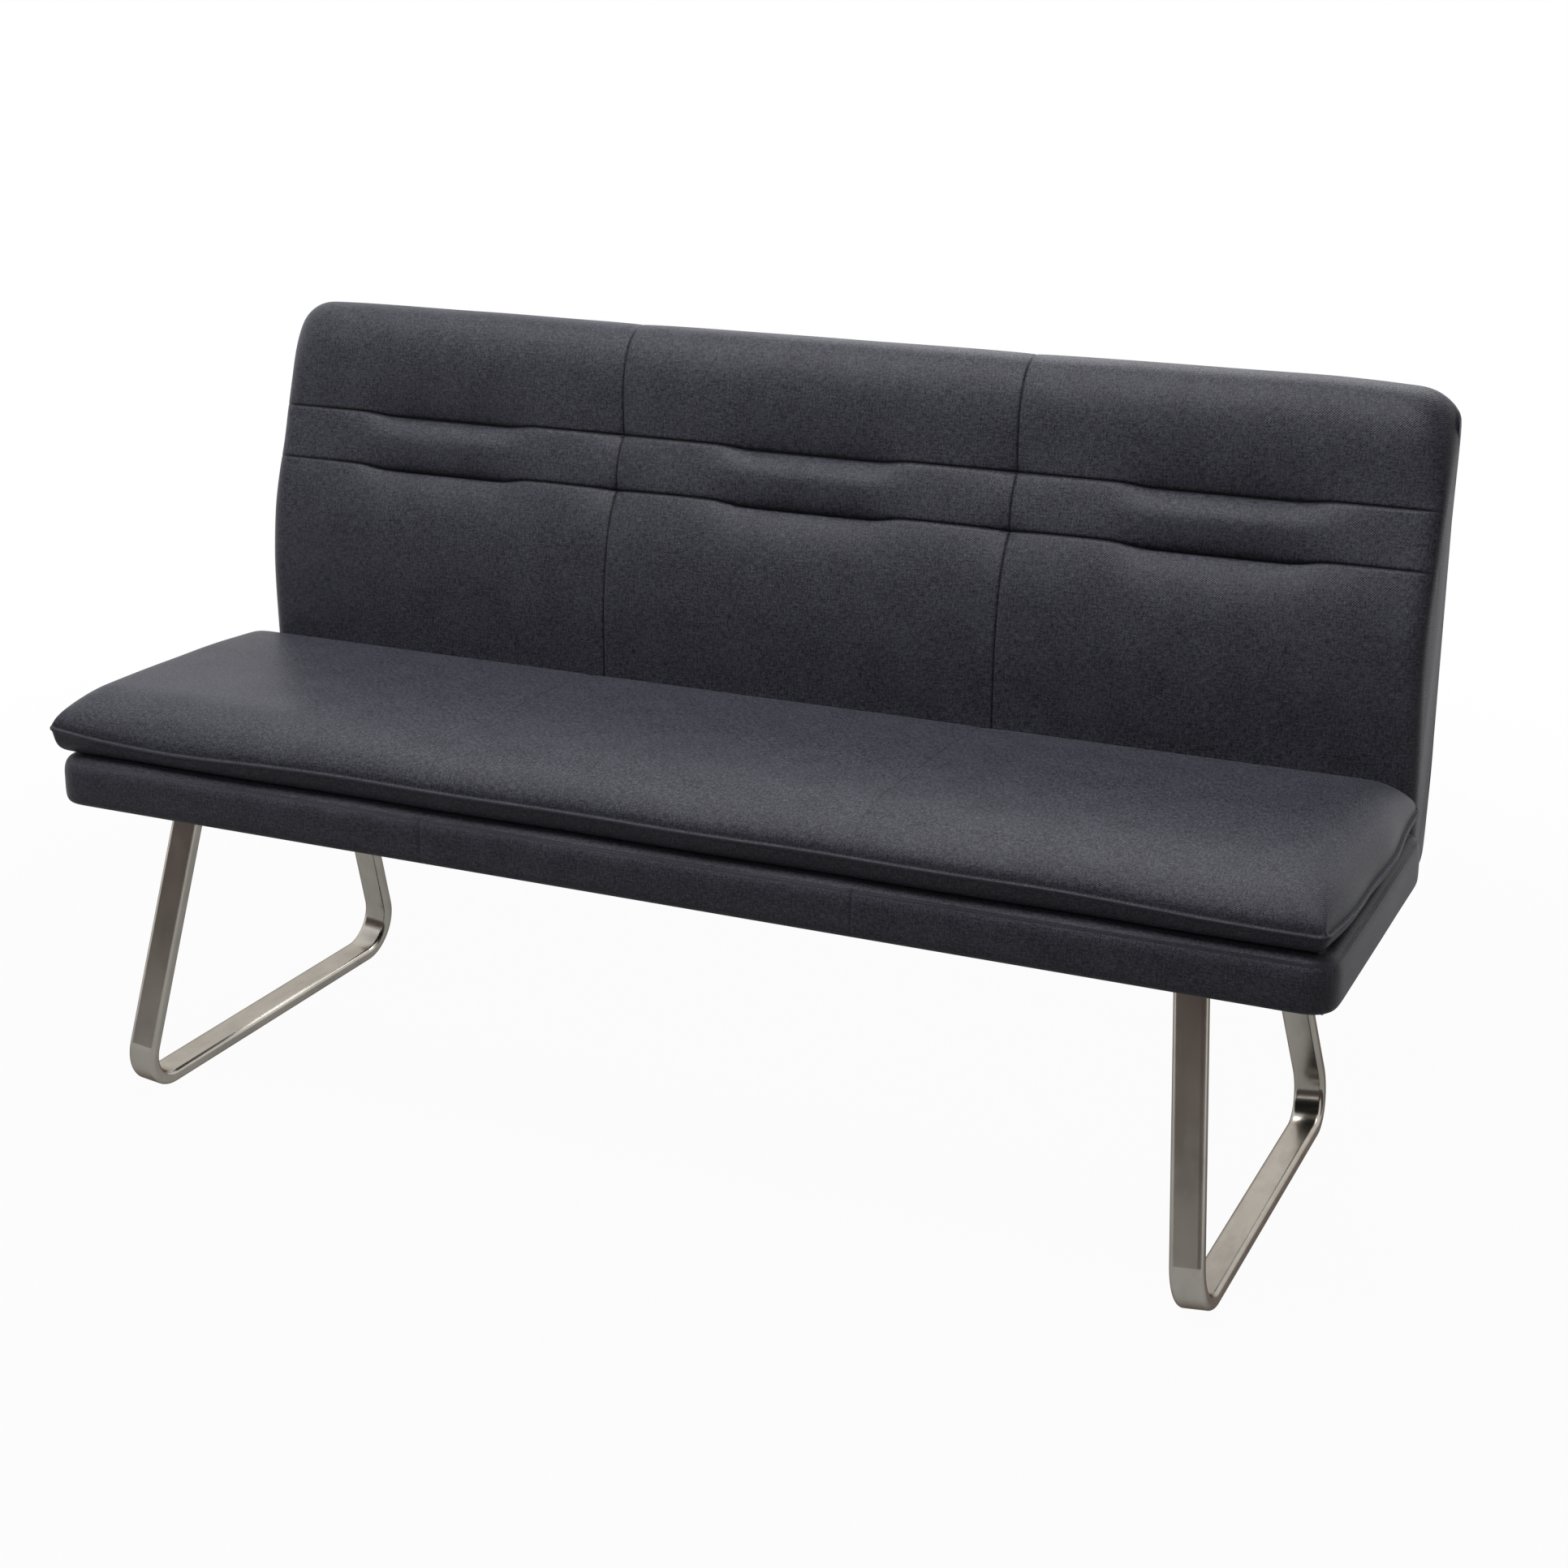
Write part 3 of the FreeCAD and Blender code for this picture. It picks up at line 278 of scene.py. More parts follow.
def rough(points, scale, seed):
    """Slow unevenness of hand-filled padding, about -1 to 1."""
    shift = Vector((seed, 2.3 * seed, 0.7 * seed))
    return np.array([noise.noise(Vector(p) * scale + shift) for p in points])


# Meshes

def ruled_block(rulings):
    """A closed block, ruled at the given places along x, y and z."""
    bm = bmesh.new()
    bmesh.ops.create_cube(bm, size=2.0)
    for axis, places in enumerate(rulings):
        along = [e for e in bm.edges if abs(e.verts[0].co[axis] - e.verts[1].co[axis]) > 1]
        bmesh.ops.subdivide_edges(bm, edges=along, cuts=len(places) - 2, use_grid_fill=True)
    for vert in bm.verts:
        vert.co = [places[round((vert.co[k] + 1) / 2 * (len(places) - 1))]
                   for k, places in enumerate(rulings)]
    return bm


def ruled_tube(around, along):
    """An open tube of that many steps around x and along it, with its ends closed."""
    bm = bmesh.new()
    ring = bmesh.ops.create_circle(
        bm, segments=around, radius=1.0, matrix=Matrix.Rotation(math.pi / 2, 4, "Y"))
    edges = list({e for v in ring["verts"] for e in v.link_edges})
    bmesh.ops.spin(
        bm, geom=ring["verts"] + edges, angle=0.0, steps=along - 1, axis=(1, 0, 0),
        cent=(0, 0, 0), dvec=(1, 0, 0))
    for end in (0, along - 1):
        rim = [e for e in bm.edges if e.is_boundary
               and all(round(v.co.x) == end for v in e.verts)]
        caps = bmesh.ops.edgeloop_fill(bm, edges=rim)["faces"]
        bmesh.ops.triangulate(bm, faces=caps)
    bmesh.ops.recalc_face_normals(bm, faces=bm.faces)
    return bm


def new_piece(name, bm):
    """The finished mesh as an object of the scene, smooth and in its place."""
    mesh = bpy.data.meshes.new(name)
    bm.to_mesh(mesh)
    bm.free()
    mesh.shade_smooth()
    piece = bpy.data.objects.new(name, mesh)
    bpy.context.scene.collection.objects.link(piece)
    return piece


def places_of(mesh):
    flat = np.empty(3 * len(mesh.vertices))
    mesh.vertices.foreach_get("co", flat)
    return flat.reshape(-1, 3)


def put_places(mesh, places):
    mesh.vertices.foreach_set("co", np.ascontiguousarray(places, float).ravel())
    mesh.update()


def put_seam_shade(mesh, values):
    """Painted shade: how far each point of a sewn line is darkened in the cloth's material, standing
    in for the seam's shadow.
    """
    layer = mesh.attributes.new(SEAM_SHADE, "FLOAT", "POINT")
    layer.data.foreach_set("value", np.clip(values, 0, 1).astype(np.float32))


def put_weave(mesh, per_vertex, period=None, on_end=None, end_grid=None):
    """The cloth's own grid in metres, so that its weave follows the surface.

    Faces that lie wholly on an end take the end's own grid.
    """
    corner = np.empty(len(mesh.loops), int)
    mesh.loops.foreach_get("vertex_index", corner)
    grid = per_vertex[corner]
    start = np.empty(len(mesh.polygons), int)
    mesh.polygons.foreach_get("loop_start", start)
    total = np.diff(np.append(start, len(corner)))
    if period:
        least = np.repeat(np.minimum.reduceat(grid[:, 1], start), total)
        most = np.repeat(np.maximum.reduceat(grid[:, 1], start), total)
        wraps = (most - least > period / 2) & (grid[:, 1] < period / 2)
        grid = grid + np.stack([0 * wraps, period * wraps], axis=1)
    if on_end is not None:
        whole = np.repeat(np.logical_and.reduceat(on_end[corner], start), total)
        grid = np.where(whole[:, None], end_grid[corner], grid)
    layer = mesh.uv_layers.new(name=WEAVE)
    layer.data.foreach_set("uv", grid.astype(np.float32).ravel())


def rounded_plan(x, y, half_x, half_y, corner):
    """Rounds the corners of a ruled rectangle: inset, place and outward way of each point."""
    inset = np.minimum(half_x - abs(x), half_y - abs(y))
    turn = np.maximum(corner - inset, 1e-9)
    u = (abs(x) - (half_x - inset - turn)) / turn
    v = (abs(y) - (half_y - inset - turn)) / turn
    bent = (u > 0) & (v > 0) & (inset < corner)
    angle = np.where(u >= v, v, 2 - u) * math.pi / 4
    side_on = half_x - abs(x) <= half_y - abs(y)
    way_x = np.where(bent, np.cos(angle), side_on) * np.sign(x)
    way_y = np.where(bent, np.sin(angle), ~side_on) * np.sign(y)
    new_x = np.where(bent, (half_x - inset - turn) * np.sign(x) + turn * way_x, x)
    new_y = np.where(bent, (half_y - inset - turn) * np.sign(y) + turn * way_y, y)
    return inset, new_x, new_y, way_x, way_y


def simulate(piece, hold):
    """Lets the cover settle as cloth under the filling's pressure, held where it is sewn."""
    group = piece.vertex_groups.new(name="held")
    for level in np.unique(np.round(hold, 2)):
        group.add(np.nonzero(np.round(hold, 2) == level)[0].tolist(), float(level), "REPLACE")
    before = places_of(piece.data)
    cloth = piece.modifiers.new("Cloth", "CLOTH")
    settings = cloth.settings
    settings.quality = 5
    settings.mass = 0.35
    settings.tension_stiffness = 18
    settings.compression_stiffness = 18
    settings.shear_stiffness = 8
    settings.bending_stiffness = 0.6
    settings.vertex_group_mass = group.name
    settings.pin_stiffness = 1.0
    settings.use_pressure = True
    settings.uniform_pressure_force = PRESSURE
    settings.shrink_min = -SPARE_CLOTH
    settings.effector_weights.gravity = 0.0
    cloth.collision_settings.use_collision = False
    scene = bpy.context.scene
    for step in range(1, SETTLE_FRAMES + 1):
        scene.frame_set(step)
    settled = piece.evaluated_get(bpy.context.evaluated_depsgraph_get())
    after = places_of(settled.data)
    piece.modifiers.remove(cloth)
    piece.vertex_groups.remove(group)
    scene.frame_set(1)
    moved = after - before
    length = np.linalg.norm(moved, axis=1, keepdims=True)
    moved *= np.minimum(1.0, FARTHEST_MOVE / np.maximum(length, 1e-9))
    pairs = np.empty(2 * len(piece.data.edges), int)
    piece.data.edges.foreach_get("vertices", pairs)
    pairs = pairs.reshape(-1, 2)
    one, other = np.concatenate([pairs, pairs[:, ::-1]]).T
    met = np.maximum(np.bincount(one, minlength=len(before)), 1)
    for _ in range(EVEN_ROUNDS):
        spread = [np.bincount(one, moved[other, k], len(before)) / met for k in range(3)]
        moved = (1 - EVEN_SHARE) * moved + EVEN_SHARE * np.stack(spread, axis=1)
    put_places(piece.data, before + moved * ease((1 - hold) / FREE_ENOUGH)[:, None])


def finish_soft(piece, fill, *nodes):
    """Smooths a padded piece and sets it in place of its plain solids."""
    smooth = piece.modifiers.new("Smooth", "SUBSURF")
    smooth.levels = smooth.render_levels = 1
    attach(piece, "root")
    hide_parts(*nodes)


# Materials

class Finish:
    """A material and short ways to add its nodes."""

    def __init__(self, name):
        self.material = bpy.data.materials.new(name)
        self.material.use_nodes = True
        self.tree = self.material.node_tree
        self.surface = self.tree.nodes["Principled BSDF"]

    def node(self, kind, values=None, **settings):
        made = self.tree.nodes.new(kind)
        for key, value in settings.items():
            setattr(made, key, value)
        for key, value in (values or {}).items():
            if isinstance(value, bpy.types.NodeSocket):
                self.tree.links.new(value, made.inputs[key])
            else:
                made.inputs[key].default_value = value
        return made

    def sum(self, operation, a, b=0.0, c=0.0):
        return self.node(
            "ShaderNodeMath", {0: a, 1: b, 2: c}, operation=operation).outputs[0]

    def between(self, share, low, high, kind="RGBA"):
        made = self.node("ShaderNodeMix", data_type=kind)
        ends = {"RGBA": (6, 7, 2), "FLOAT": (2, 3, 0)}[kind]
        for index, value in zip((0, ends[0], ends[1]), (share, low, high)):
            if isinstance(value, bpy.types.NodeSocket):
                self.tree.links.new(value, made.inputs[index])
            else:
                made.inputs[index].default_value = value
        return made.outputs[ends[2]]

    def noise(self, place, scale, detail=2.0, roughness=0.5):
        return self.node(
            "ShaderNodeTexNoise",
            {"Vector": place, "Scale": scale, "Detail": detail, "Roughness": roughness},
        ).outputs["Fac"]

    def stretched(self, place, scale):
        return self.node("ShaderNodeMapping", {"Vector": place, "Scale": scale}).outputs[0]

    def own_place(self):
        return self.node("ShaderNodeTexCoord").outputs["Object"]

    def bump(self, height, distance, strength=1.0):
        made = self.node(
            "ShaderNodeBump", {"Height": height, "Distance": distance, "Strength": strength})
        self.link(made.outputs[0], "Normal")

    def link(self, socket, name):
        self.tree.links.new(socket, self.surface.inputs[name])

    def set(self, **values):
        for key, value in values.items():
            self.surface.inputs[key.replace("_", " ")].default_value = value


def opaque(colour, share=1.0):
    """A colour, or a darker or lighter share of it, with nothing showing through."""
    return (*(share * c for c in colour), 1.0)


def twill_cloth(name, shape, colours, bold=1.0):
    """Woven twill of dark and light yarn: slanted ribs, uneven yarns and flecks, and painted shade
    along the sewn lines.
    """
    made = Finish(name)
    grid = made.node("ShaderNodeUVMap", uv_map=WEAVE).outputs[0]
    split = made.node("ShaderNodeSeparateXYZ", {0: grid})
    waver = made.sum("MULTIPLY_ADD", made.noise(grid, 260.0, 2.0), 1.6, -0.8)
    slant = made.sum("SUBTRACT", split.outputs[0], split.outputs[1])
    turn = made.sum("MULTIPLY_ADD", slant, math.tau / (shape.rib_pitch * math.sqrt(2)), waver)
    rib = made.sum("MULTIPLY_ADD", made.sum("SINE", turn), 0.5, 0.5)
    along_yarn, over_yarn = 110.0, 460.0
    across = made.noise(made.stretched(grid, (along_yarn, over_yarn, 1.0)), 1.0, 3.0, 0.6)
    upward = made.noise(made.stretched(grid, (over_yarn, along_yarn, 1.0)), 1.0, 3.0, 0.6)
    fleck = made.noise(grid, 400.0, 3.0, 0.7)
    cloud = made.noise(grid, 22.0, 3.0, 0.55)
    yarn = made.sum("MULTIPLY_ADD", across, 0.5, made.sum("MULTIPLY", upward, 0.5))
    mixed = made.sum("MULTIPLY_ADD", rib, 0.36 * bold, 0.34 - 0.18 * bold)
    for part, weight in ((yarn, 2.2 * bold), (fleck, 1.5 * bold), (cloud, 0.34)):
        mixed = made.sum("MULTIPLY_ADD", part, weight, made.sum("SUBTRACT", mixed, weight / 2))
    share = made.node("ShaderNodeClamp", {0: mixed}).outputs[0]
    tone = made.between(share, opaque(colours.cloth_dark), opaque(colours.cloth_light))
    # Painted shade: along the sewn lines the colour is drawn towards 0.35 of the dark yarn's,
    # standing in for the seams' shadow.
    sewn = made.node("ShaderNodeAttribute", attribute_name=SEAM_SHADE).outputs["Fac"]
    made.link(made.between(sewn, tone, opaque(colours.cloth_dark, 0.35)), "Base Color")
    relief = made.sum("MULTIPLY_ADD", rib, 0.6, made.sum("MULTIPLY", yarn, 0.6))
    made.bump(relief, 0.0004, 0.7)
    made.link(made.between(yarn, 0.34, 0.54, "FLOAT"), "Roughness")
    made.set(Sheen_Weight=0.10, Sheen_Roughness=0.4, Sheen_Tint=(0.75, 0.78, 0.95, 1.0),
             Specular_IOR_Level=0.17)
    return made.material


def twisted_thread(name, colours):
    """Sewing thread with its twist."""
    made = Finish(name)
    place = made.own_place()
    twist = made.noise(made.stretched(place, (900.0, 900.0, 900.0)), 1.0, 2.0)
    made.link(made.between(twist, opaque(colours.thread), opaque(colours.thread, 1.7)), "Base Color")
    made.bump(twist, 0.0002, 0.6)
    made.set(Roughness=0.6, Sheen_Weight=0.2)
    return made.material


def brushed_steel(name, colour, grain=(14.0, 240.0, 240.0), rough=(0.16, 0.30)):
    """Brushed steel: fine grain, cloudy polish and a few handling marks."""
    made = Finish(name)
    place = made.own_place()
    grain = made.noise(made.stretched(place, grain), 3.0, 4.0, 0.65)
    cloud = made.noise(made.stretched(place, (9.0, 5.0, 5.0)), 2.0, 4.0, 0.6)
    marks = made.noise(made.stretched(place, (50.0, 22.0, 26.0)), 1.0, 2.0, 0.5)
    marks = made.node(
        "ShaderNodeMapRange", {"Value": marks, "From Min": 0.45, "From Max": 0.85}).outputs[0]
    tone = made.between(cloud, opaque(colour, 0.72), opaque(colour))
    smeared = made.sum("MULTIPLY", marks, 0.6)
    made.link(made.between(smeared, tone, opaque(colour, 0.62)), "Base Color")
    gloss = made.sum("MULTIPLY_ADD", cloud, 0.5, made.sum("MULTIPLY", grain, 0.5))
    made.link(made.between(gloss, rough[0], rough[1], "FLOAT"), "Roughness")
    made.set(Metallic=1.0, Specular_Tint=(0.40, 0.33, 0.30, 1.0))
    return made.material


def sawn_wood(name, colour, rings):
    """Planed wood with growth rings and fine pores."""
    made = Finish(name)
    place = made.own_place()
    bent = made.noise(made.stretched(place, (1.5, 9.0, 9.0)), 1.0, 3.0)
    turn = made.sum("MULTIPLY", bent, rings)
    ring = made.sum("MULTIPLY_ADD", made.sum("SINE", turn), 0.5, 0.5)
    pores = made.noise(made.stretched(place, (30.0, 700.0, 700.0)), 1.0, 3.0)
    tone = made.between(made.sum("MULTIPLY", ring, pores), opaque(colour), opaque(colour, 0.58))
    made.link(tone, "Base Color")
    made.bump(pores, 0.0003, 0.5)
    made.set(Roughness=0.68)
    return made.material


def grained_plastic(name, colour):
    """Moulded plastic with a fine spark grain."""
    made = Finish(name)
    place = made.own_place()
    spark = made.noise(place, 1500.0, 3.0)
    worn = made.noise(place, 60.0, 4.0, 0.7)
    made.link(made.between(worn, opaque(colour), opaque(colour, 2.2)), "Base Color")
    made.link(made.between(worn, 0.45, 0.7, "FLOAT"), "Roughness")
    made.bump(spark, 0.0002, 0.4)
    return made.material


def felted_lining(name, colour):
    """Thin felted lining, point bonded in a small grid."""
    made = Finish(name)
    place = made.own_place()
    fibre = made.noise(place, 900.0, 4.0, 0.7)
    dots = made.node("ShaderNodeTexVoronoi", {"Vector": place, "Scale": 420.0}).outputs[0]
    made.link(made.between(fibre, opaque(colour), opaque(colour, 2.6)), "Base Color")
    made.bump(made.sum("MULTIPLY", dots, fibre), 0.0004, 0.6)
    made.set(Roughness=0.9)
    return made.material


def dress(names, material):
    """Gives plain solids of the frame their finish."""
    for name in names:
        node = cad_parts[name]
        node.data.materials.clear()
        node.data.materials.append(material)


def nodes_like(*words):
    return [name for name in sorted(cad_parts) if any(word in name for word in words)]


# Soft forms

def cushion_plan(shape):
    """Middle and half sizes of the cushion as it lies."""
    low = Vector((CUSHION_LOW.x, CUSHION_LOW.y + shape.cushion_setback))
    high = CUSHION_HIGH.xy
    middle = (low + high) / 2
    middle.x += shape.cushion_shift
    return middle, *((high - low) / 2)


def cushion_lie(x, y, inset, shape):
    """Where a point of the cushion's plan lies, and the height of the sewn edge beside it."""
    middle, half_x, half_y = cushion_plan(shape)
    bow_depth, bow_zone = 0.010, 0.12
    wave_zone, end_wave, long_wave = 0.05, 0.0016, 0.0014
    sunk, left_dip, right_dip, left_lift = 0.005, 0.006, 0.006, 0.005
    bow = bow_depth * (x > 0) * (y / half_y) ** 2 * ease((abs(x) - half_x + bow_zone) / bow_zone)
    edge = ease(1 - inset / 0.03)
    by_end = ease((abs(x) - half_x + wave_zone) / wave_zone)
    wave_x = end_wave * np.sin(34.0 * y) * np.sign(x) * edge * by_end
    wave_y = long_wave * np.sin(21.0 * x) * np.sign(y) * edge
    front = ease(0.5 - 5.0 * y)
    dip = sunk + left_dip * front * np.exp(-((x + 0.63) / 0.11) ** 2)
    dip = dip + right_dip * ease((x - 0.45) / 0.35) - left_lift * np.exp(-((x + half_x) / 0.05) ** 2)
    return x - bow + wave_x + middle.x, y + wave_y + middle.y, shape.flange_height - dip


def cushion_rise(inset, x, y, shape):
    """How far the cushion's upper sheet has risen from its sewn edge, from 0 to 1."""
    _, half_x, half_y = cushion_plan(shape)
    roll = shape.cushion_roll
    from_edges = (
        (half_x - abs(x), roll * (1.25 + 0.25 * np.sign(x))),
        (half_y + y, 2.3 * roll),
        (half_y - y, 1.2 * roll),
    )
    risen = [np.maximum(rising(away - shape.flange, width, 2.0) ** 0.55, 1e-3)
             for away, width in from_edges]
    return (sum(r ** -3.0 for r in risen) - 2) ** (-1 / 3)


class BENCH_OT_seat_cushion(bpy.types.Operator):
    """Make the loose seat cushion with its sewn edge and two seams"""

    bl_idname = "bench.seat_cushion"
    bl_label = "Seat cushion"

    def execute(self, context):
        shape = context.scene.bench_shape
        lip = shape.flange
        apart, at_rim, at_seam = 0.014, 0.0018, 0.0010
        corner = 0.012
        middle, half_x, half_y = cushion_plan(shape)
        seams = (-shape.seam_x - middle.x, shape.seam_x - middle.x)
        bm = ruled_block((
            seamed_ruling(
                -half_x, half_x, apart, at_rim, (lip - half_x, *seams, half_x - lip), at_seam),
            seamed_ruling(-half_y, half_y, apart, at_rim, (lip - half_y, half_y - lip), at_seam),
            np.linspace(-1, 1, 4),
        ))
        piece = new_piece("seat_cushion", bm)
        x, y, level = places_of(piece.data).T
        inset, x, y, _, _ = rounded_plan(x, y, half_x, half_y, corner)
        new_x, new_y, rim = cushion_lie(x, y, inset, shape)
        half_thick = shape.flange_thickness / 2
        seam_away = np.min([abs(x - s) for s in seams], axis=0)
        upper, lower = level > 0.99, level < -0.99
        front_crown, rear_fall = 0.003, 0.007
        crown = CUSHION_HIGH.z + front_crown * ease((0.10 - y) / 0.2)
        crown -= rear_fall * ease((y - 0.06) / 0.15)
        top = rim + half_thick + (crown - rim - half_thick) * cushion_rise(inset, x, y, shape)
        top += FLANGE_BEAD * np.sin(math.pi * np.clip(inset / lip, 0, 1))
        top -= 0.0007 * np.exp(-((inset - lip) / 0.0013) ** 2)
        seam = 0.3 * shape.seam_depth * np.exp(-(seam_away / 0.0009) ** 2)
        seam += 0.0006 * np.exp(-seam_away / 0.010)
        top -= seam * ease((inset - lip) / 0.004)
        drop = rim - half_thick - CUSHION_LOW.z
        under = rim - half_thick - drop * rising(inset - 0.003, 0.018, 2.0) ** 0.5
        high = np.where(upper, top, np.where(lower, under, rim + level * half_thick))
        uneven = rough(np.stack([x, y, 0 * x], axis=1), 7.0, 3.1)
        high += 0.0012 * uneven * upper * ease((inset - 0.02) / 0.05)
        put_places(piece.data, np.stack([new_x, new_y, high], axis=1))
        fallen = np.where(upper, CUSHION_HIGH.z - high, high - CUSHION_LOW.z)
        at_end = half_x - abs(x) < half_y - abs(y)
        put_weave(piece.data, np.stack([
            x + np.sign(x) * fallen * at_end,
            y + np.sign(y) * fallen * ~at_end + 0.7 * ~upper], axis=1))
        # Painted shade along the two seams and along the groove at the sewn edge.
        sewn = 0.35 * np.exp(-(seam_away / 0.0008) ** 2) * upper * (inset > lip)
        sewn += 0.5 * np.exp(-((inset - lip) / 0.0012) ** 2) * upper
        put_seam_shade(piece.data, sewn)
        loose = upper * ease((inset - 0.012) / 0.03) * ease(seam_away / 0.02)
        simulate(piece, 1 - 0.75 * loose)
        piece.data.materials.append(
            twill_cloth("cushion_twill", shape, context.scene.bench_colours, 1.35))
        finish_soft(piece, 0.8, "cushion_cover", "cushion_filling")
        return {"FINISHED"}


class BENCH_OT_cushion_stitching(bpy.types.Operator):
    """Make the row of stitches along the cushion's sewn edge"""

    bl_idname = "bench.cushion_stitching"
    bl_label = "Cushion stitching"

    def execute(self, context):
        shape = context.scene.bench_shape
        _, half_x, half_y = cushion_plan(shape)
        inset = 0.7 * shape.flange
        wide, deep = half_x - inset, half_y - inset
        above = (shape.flange_thickness / 2 + STITCH_LIFT
                 + FLANGE_BEAD * math.sin(math.pi * inset / shape.flange))
        bm = bmesh.new()
        for length, across, turn in ((wide, deep, 0.0), (deep, wide, math.pi / 2)):
            count = int(2 * (length - 0.012) / shape.stitch_pitch)
            for side in (-1, 1):
                for n in range(count):
                    along = (n - (count - 1) / 2) * shape.stitch_pitch
                    x, y = (along, side * across) if turn == 0 else (side * across, along)
                    x, y, rim = cushion_lie(x, y, inset, shape)
                    bmesh.ops.create_icosphere(
                        bm, subdivisions=1, radius=1.0,
                        matrix=Matrix.Translation((x, y, rim + above))
                        @ Matrix.Rotation(turn, 4, "Z") @ Matrix.Diagonal(
                            (0.40 * shape.stitch_pitch, shape.thread / 2, shape.thread / 2, 1)))
        piece = new_piece("cushion_stitching", bm)
        piece.data.materials.append(
            twisted_thread("sewing_thread", context.scene.bench_colours))
        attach(piece, "root")
        return {"FINISHED"}


class BENCH_OT_seat_box(bpy.types.Operator):
    """Make the upholstered seat box under the cushion"""

    bl_idname = "bench.seat_box"
    bl_label = "Seat box"

    def execute(self, context):
        shape = context.scene.bench_shape
        middle = (SEAT_LOW + SEAT_HIGH) / 2
        half_x, half_y, half_z = (SEAT_HIGH - SEAT_LOW) / 2
        forward, wider = 0.004, 0.005
        corner, top_edge, bottom_edge = 0.034, 0.020, 0.011
        half_y += forward / 2
        middle.y -= forward / 2
        seams = (-shape.seam_x - wider, shape.seam_x + wider)
        bm = ruled_block((
            seamed_ruling(-half_x, half_x, 0.016, 0.0035, seams, 0.0009),
            seamed_ruling(-half_y, half_y, 0.020, 0.0035, (), 0.0),
            seamed_ruling(-half_z, half_z, 0.007, 0.0028, (), 0.0),
        ))
        piece = new_piece("seat_box", bm)
        x, y, z = places_of(piece.data).T
        flat = abs(z) > half_z - 1e-6
        edge = np.where(z > 0, top_edge, bottom_edge)
        inset, new_x, new_y, way_x, way_y = rounded_plan(x, y, half_x, half_y, corner)
        out = np.maximum(edge - inset, 0)
        up = np.maximum(abs(z) - (half_z - edge), 0)
        length = np.where((out > 0) & (up > 0), np.hypot(out, up) / edge, 1.0)
        rolled = edge - out / length - np.where(out > 0, inset, edge)
        new_x = new_x - way_x * np.where(out > 0, rolled, 0)
        new_y = new_y - way_y * np.where(out > 0, rolled, 0)
        new_z = np.sign(z) * (np.minimum(abs(z), half_z - edge) + up / length)
        seam_away = np.min([abs(x - s) for s in seams], axis=0)
        face = ease((edge - inset) / edge) * ease((half_z - abs(new_z)) / 0.02)
        seam = 0.6 * shape.seam_depth * np.exp(-(seam_away / 0.0016) ** 2)
        seam += 0.0007 * np.exp(-seam_away / 0.012)
        uneven = 0.0010 * rough(np.stack([x, y, z], axis=1), 9.0, 7.7)
        move = face * (uneven - seam * ~flat)
        put_places(piece.data, np.stack(
            [new_x + way_x * move, new_y + way_y * move + middle.y, new_z + middle.z], axis=1))
        side = np.where(flat, 0.0, half_z - z)
        put_weave(piece.data, np.stack([
            np.where(half_x - abs(x) < half_y - abs(y), y + 2.0, x),
            np.where(flat, y, side + 1.3)], axis=1))
        # Painted shade along the two seams down the box's front and back.
        put_seam_shade(piece.data, 0.45 * np.exp(-(seam_away / 0.0009) ** 2) * (inset < 1e-6))
        piece.data.materials.append(
            twill_cloth("seat_twill", shape, context.scene.bench_colours))
        finish_soft(piece, 1.0, "seat_cover", "seat_padding")
        return {"FINISHED"}


def back_outline():
    """The back's side view as one closed line, with the steps at its sewn lines."""
    runs = []
    marks = []
    for points, step, first, last in (
        (BACK_FACE, 0.015, 0.009, 0.0011), (BACK_BAND, 0.006, 0.0011, 0.0011),
        (BACK_ROLL, 0.011, 0.0011, 0.011), (BACK_REAR, 0.026, 0.008, 0.008),
    ):
        span = sum(math.dist(a, b) for a, b in zip(points, points[1:])) / 1000
        runs.append(smooth_run(points, graded(span, step, first, last))[:-1] / 1000)
        marks.append(sum(len(r) for r in runs))
    line = np.concatenate(runs)
    line[:, 0] += SEAT_LOW.y
    steps = np.linalg.norm(line - np.roll(line, 1, axis=0), axis=1)
    steps[0] = 0
    return line, np.cumsum(steps), marks


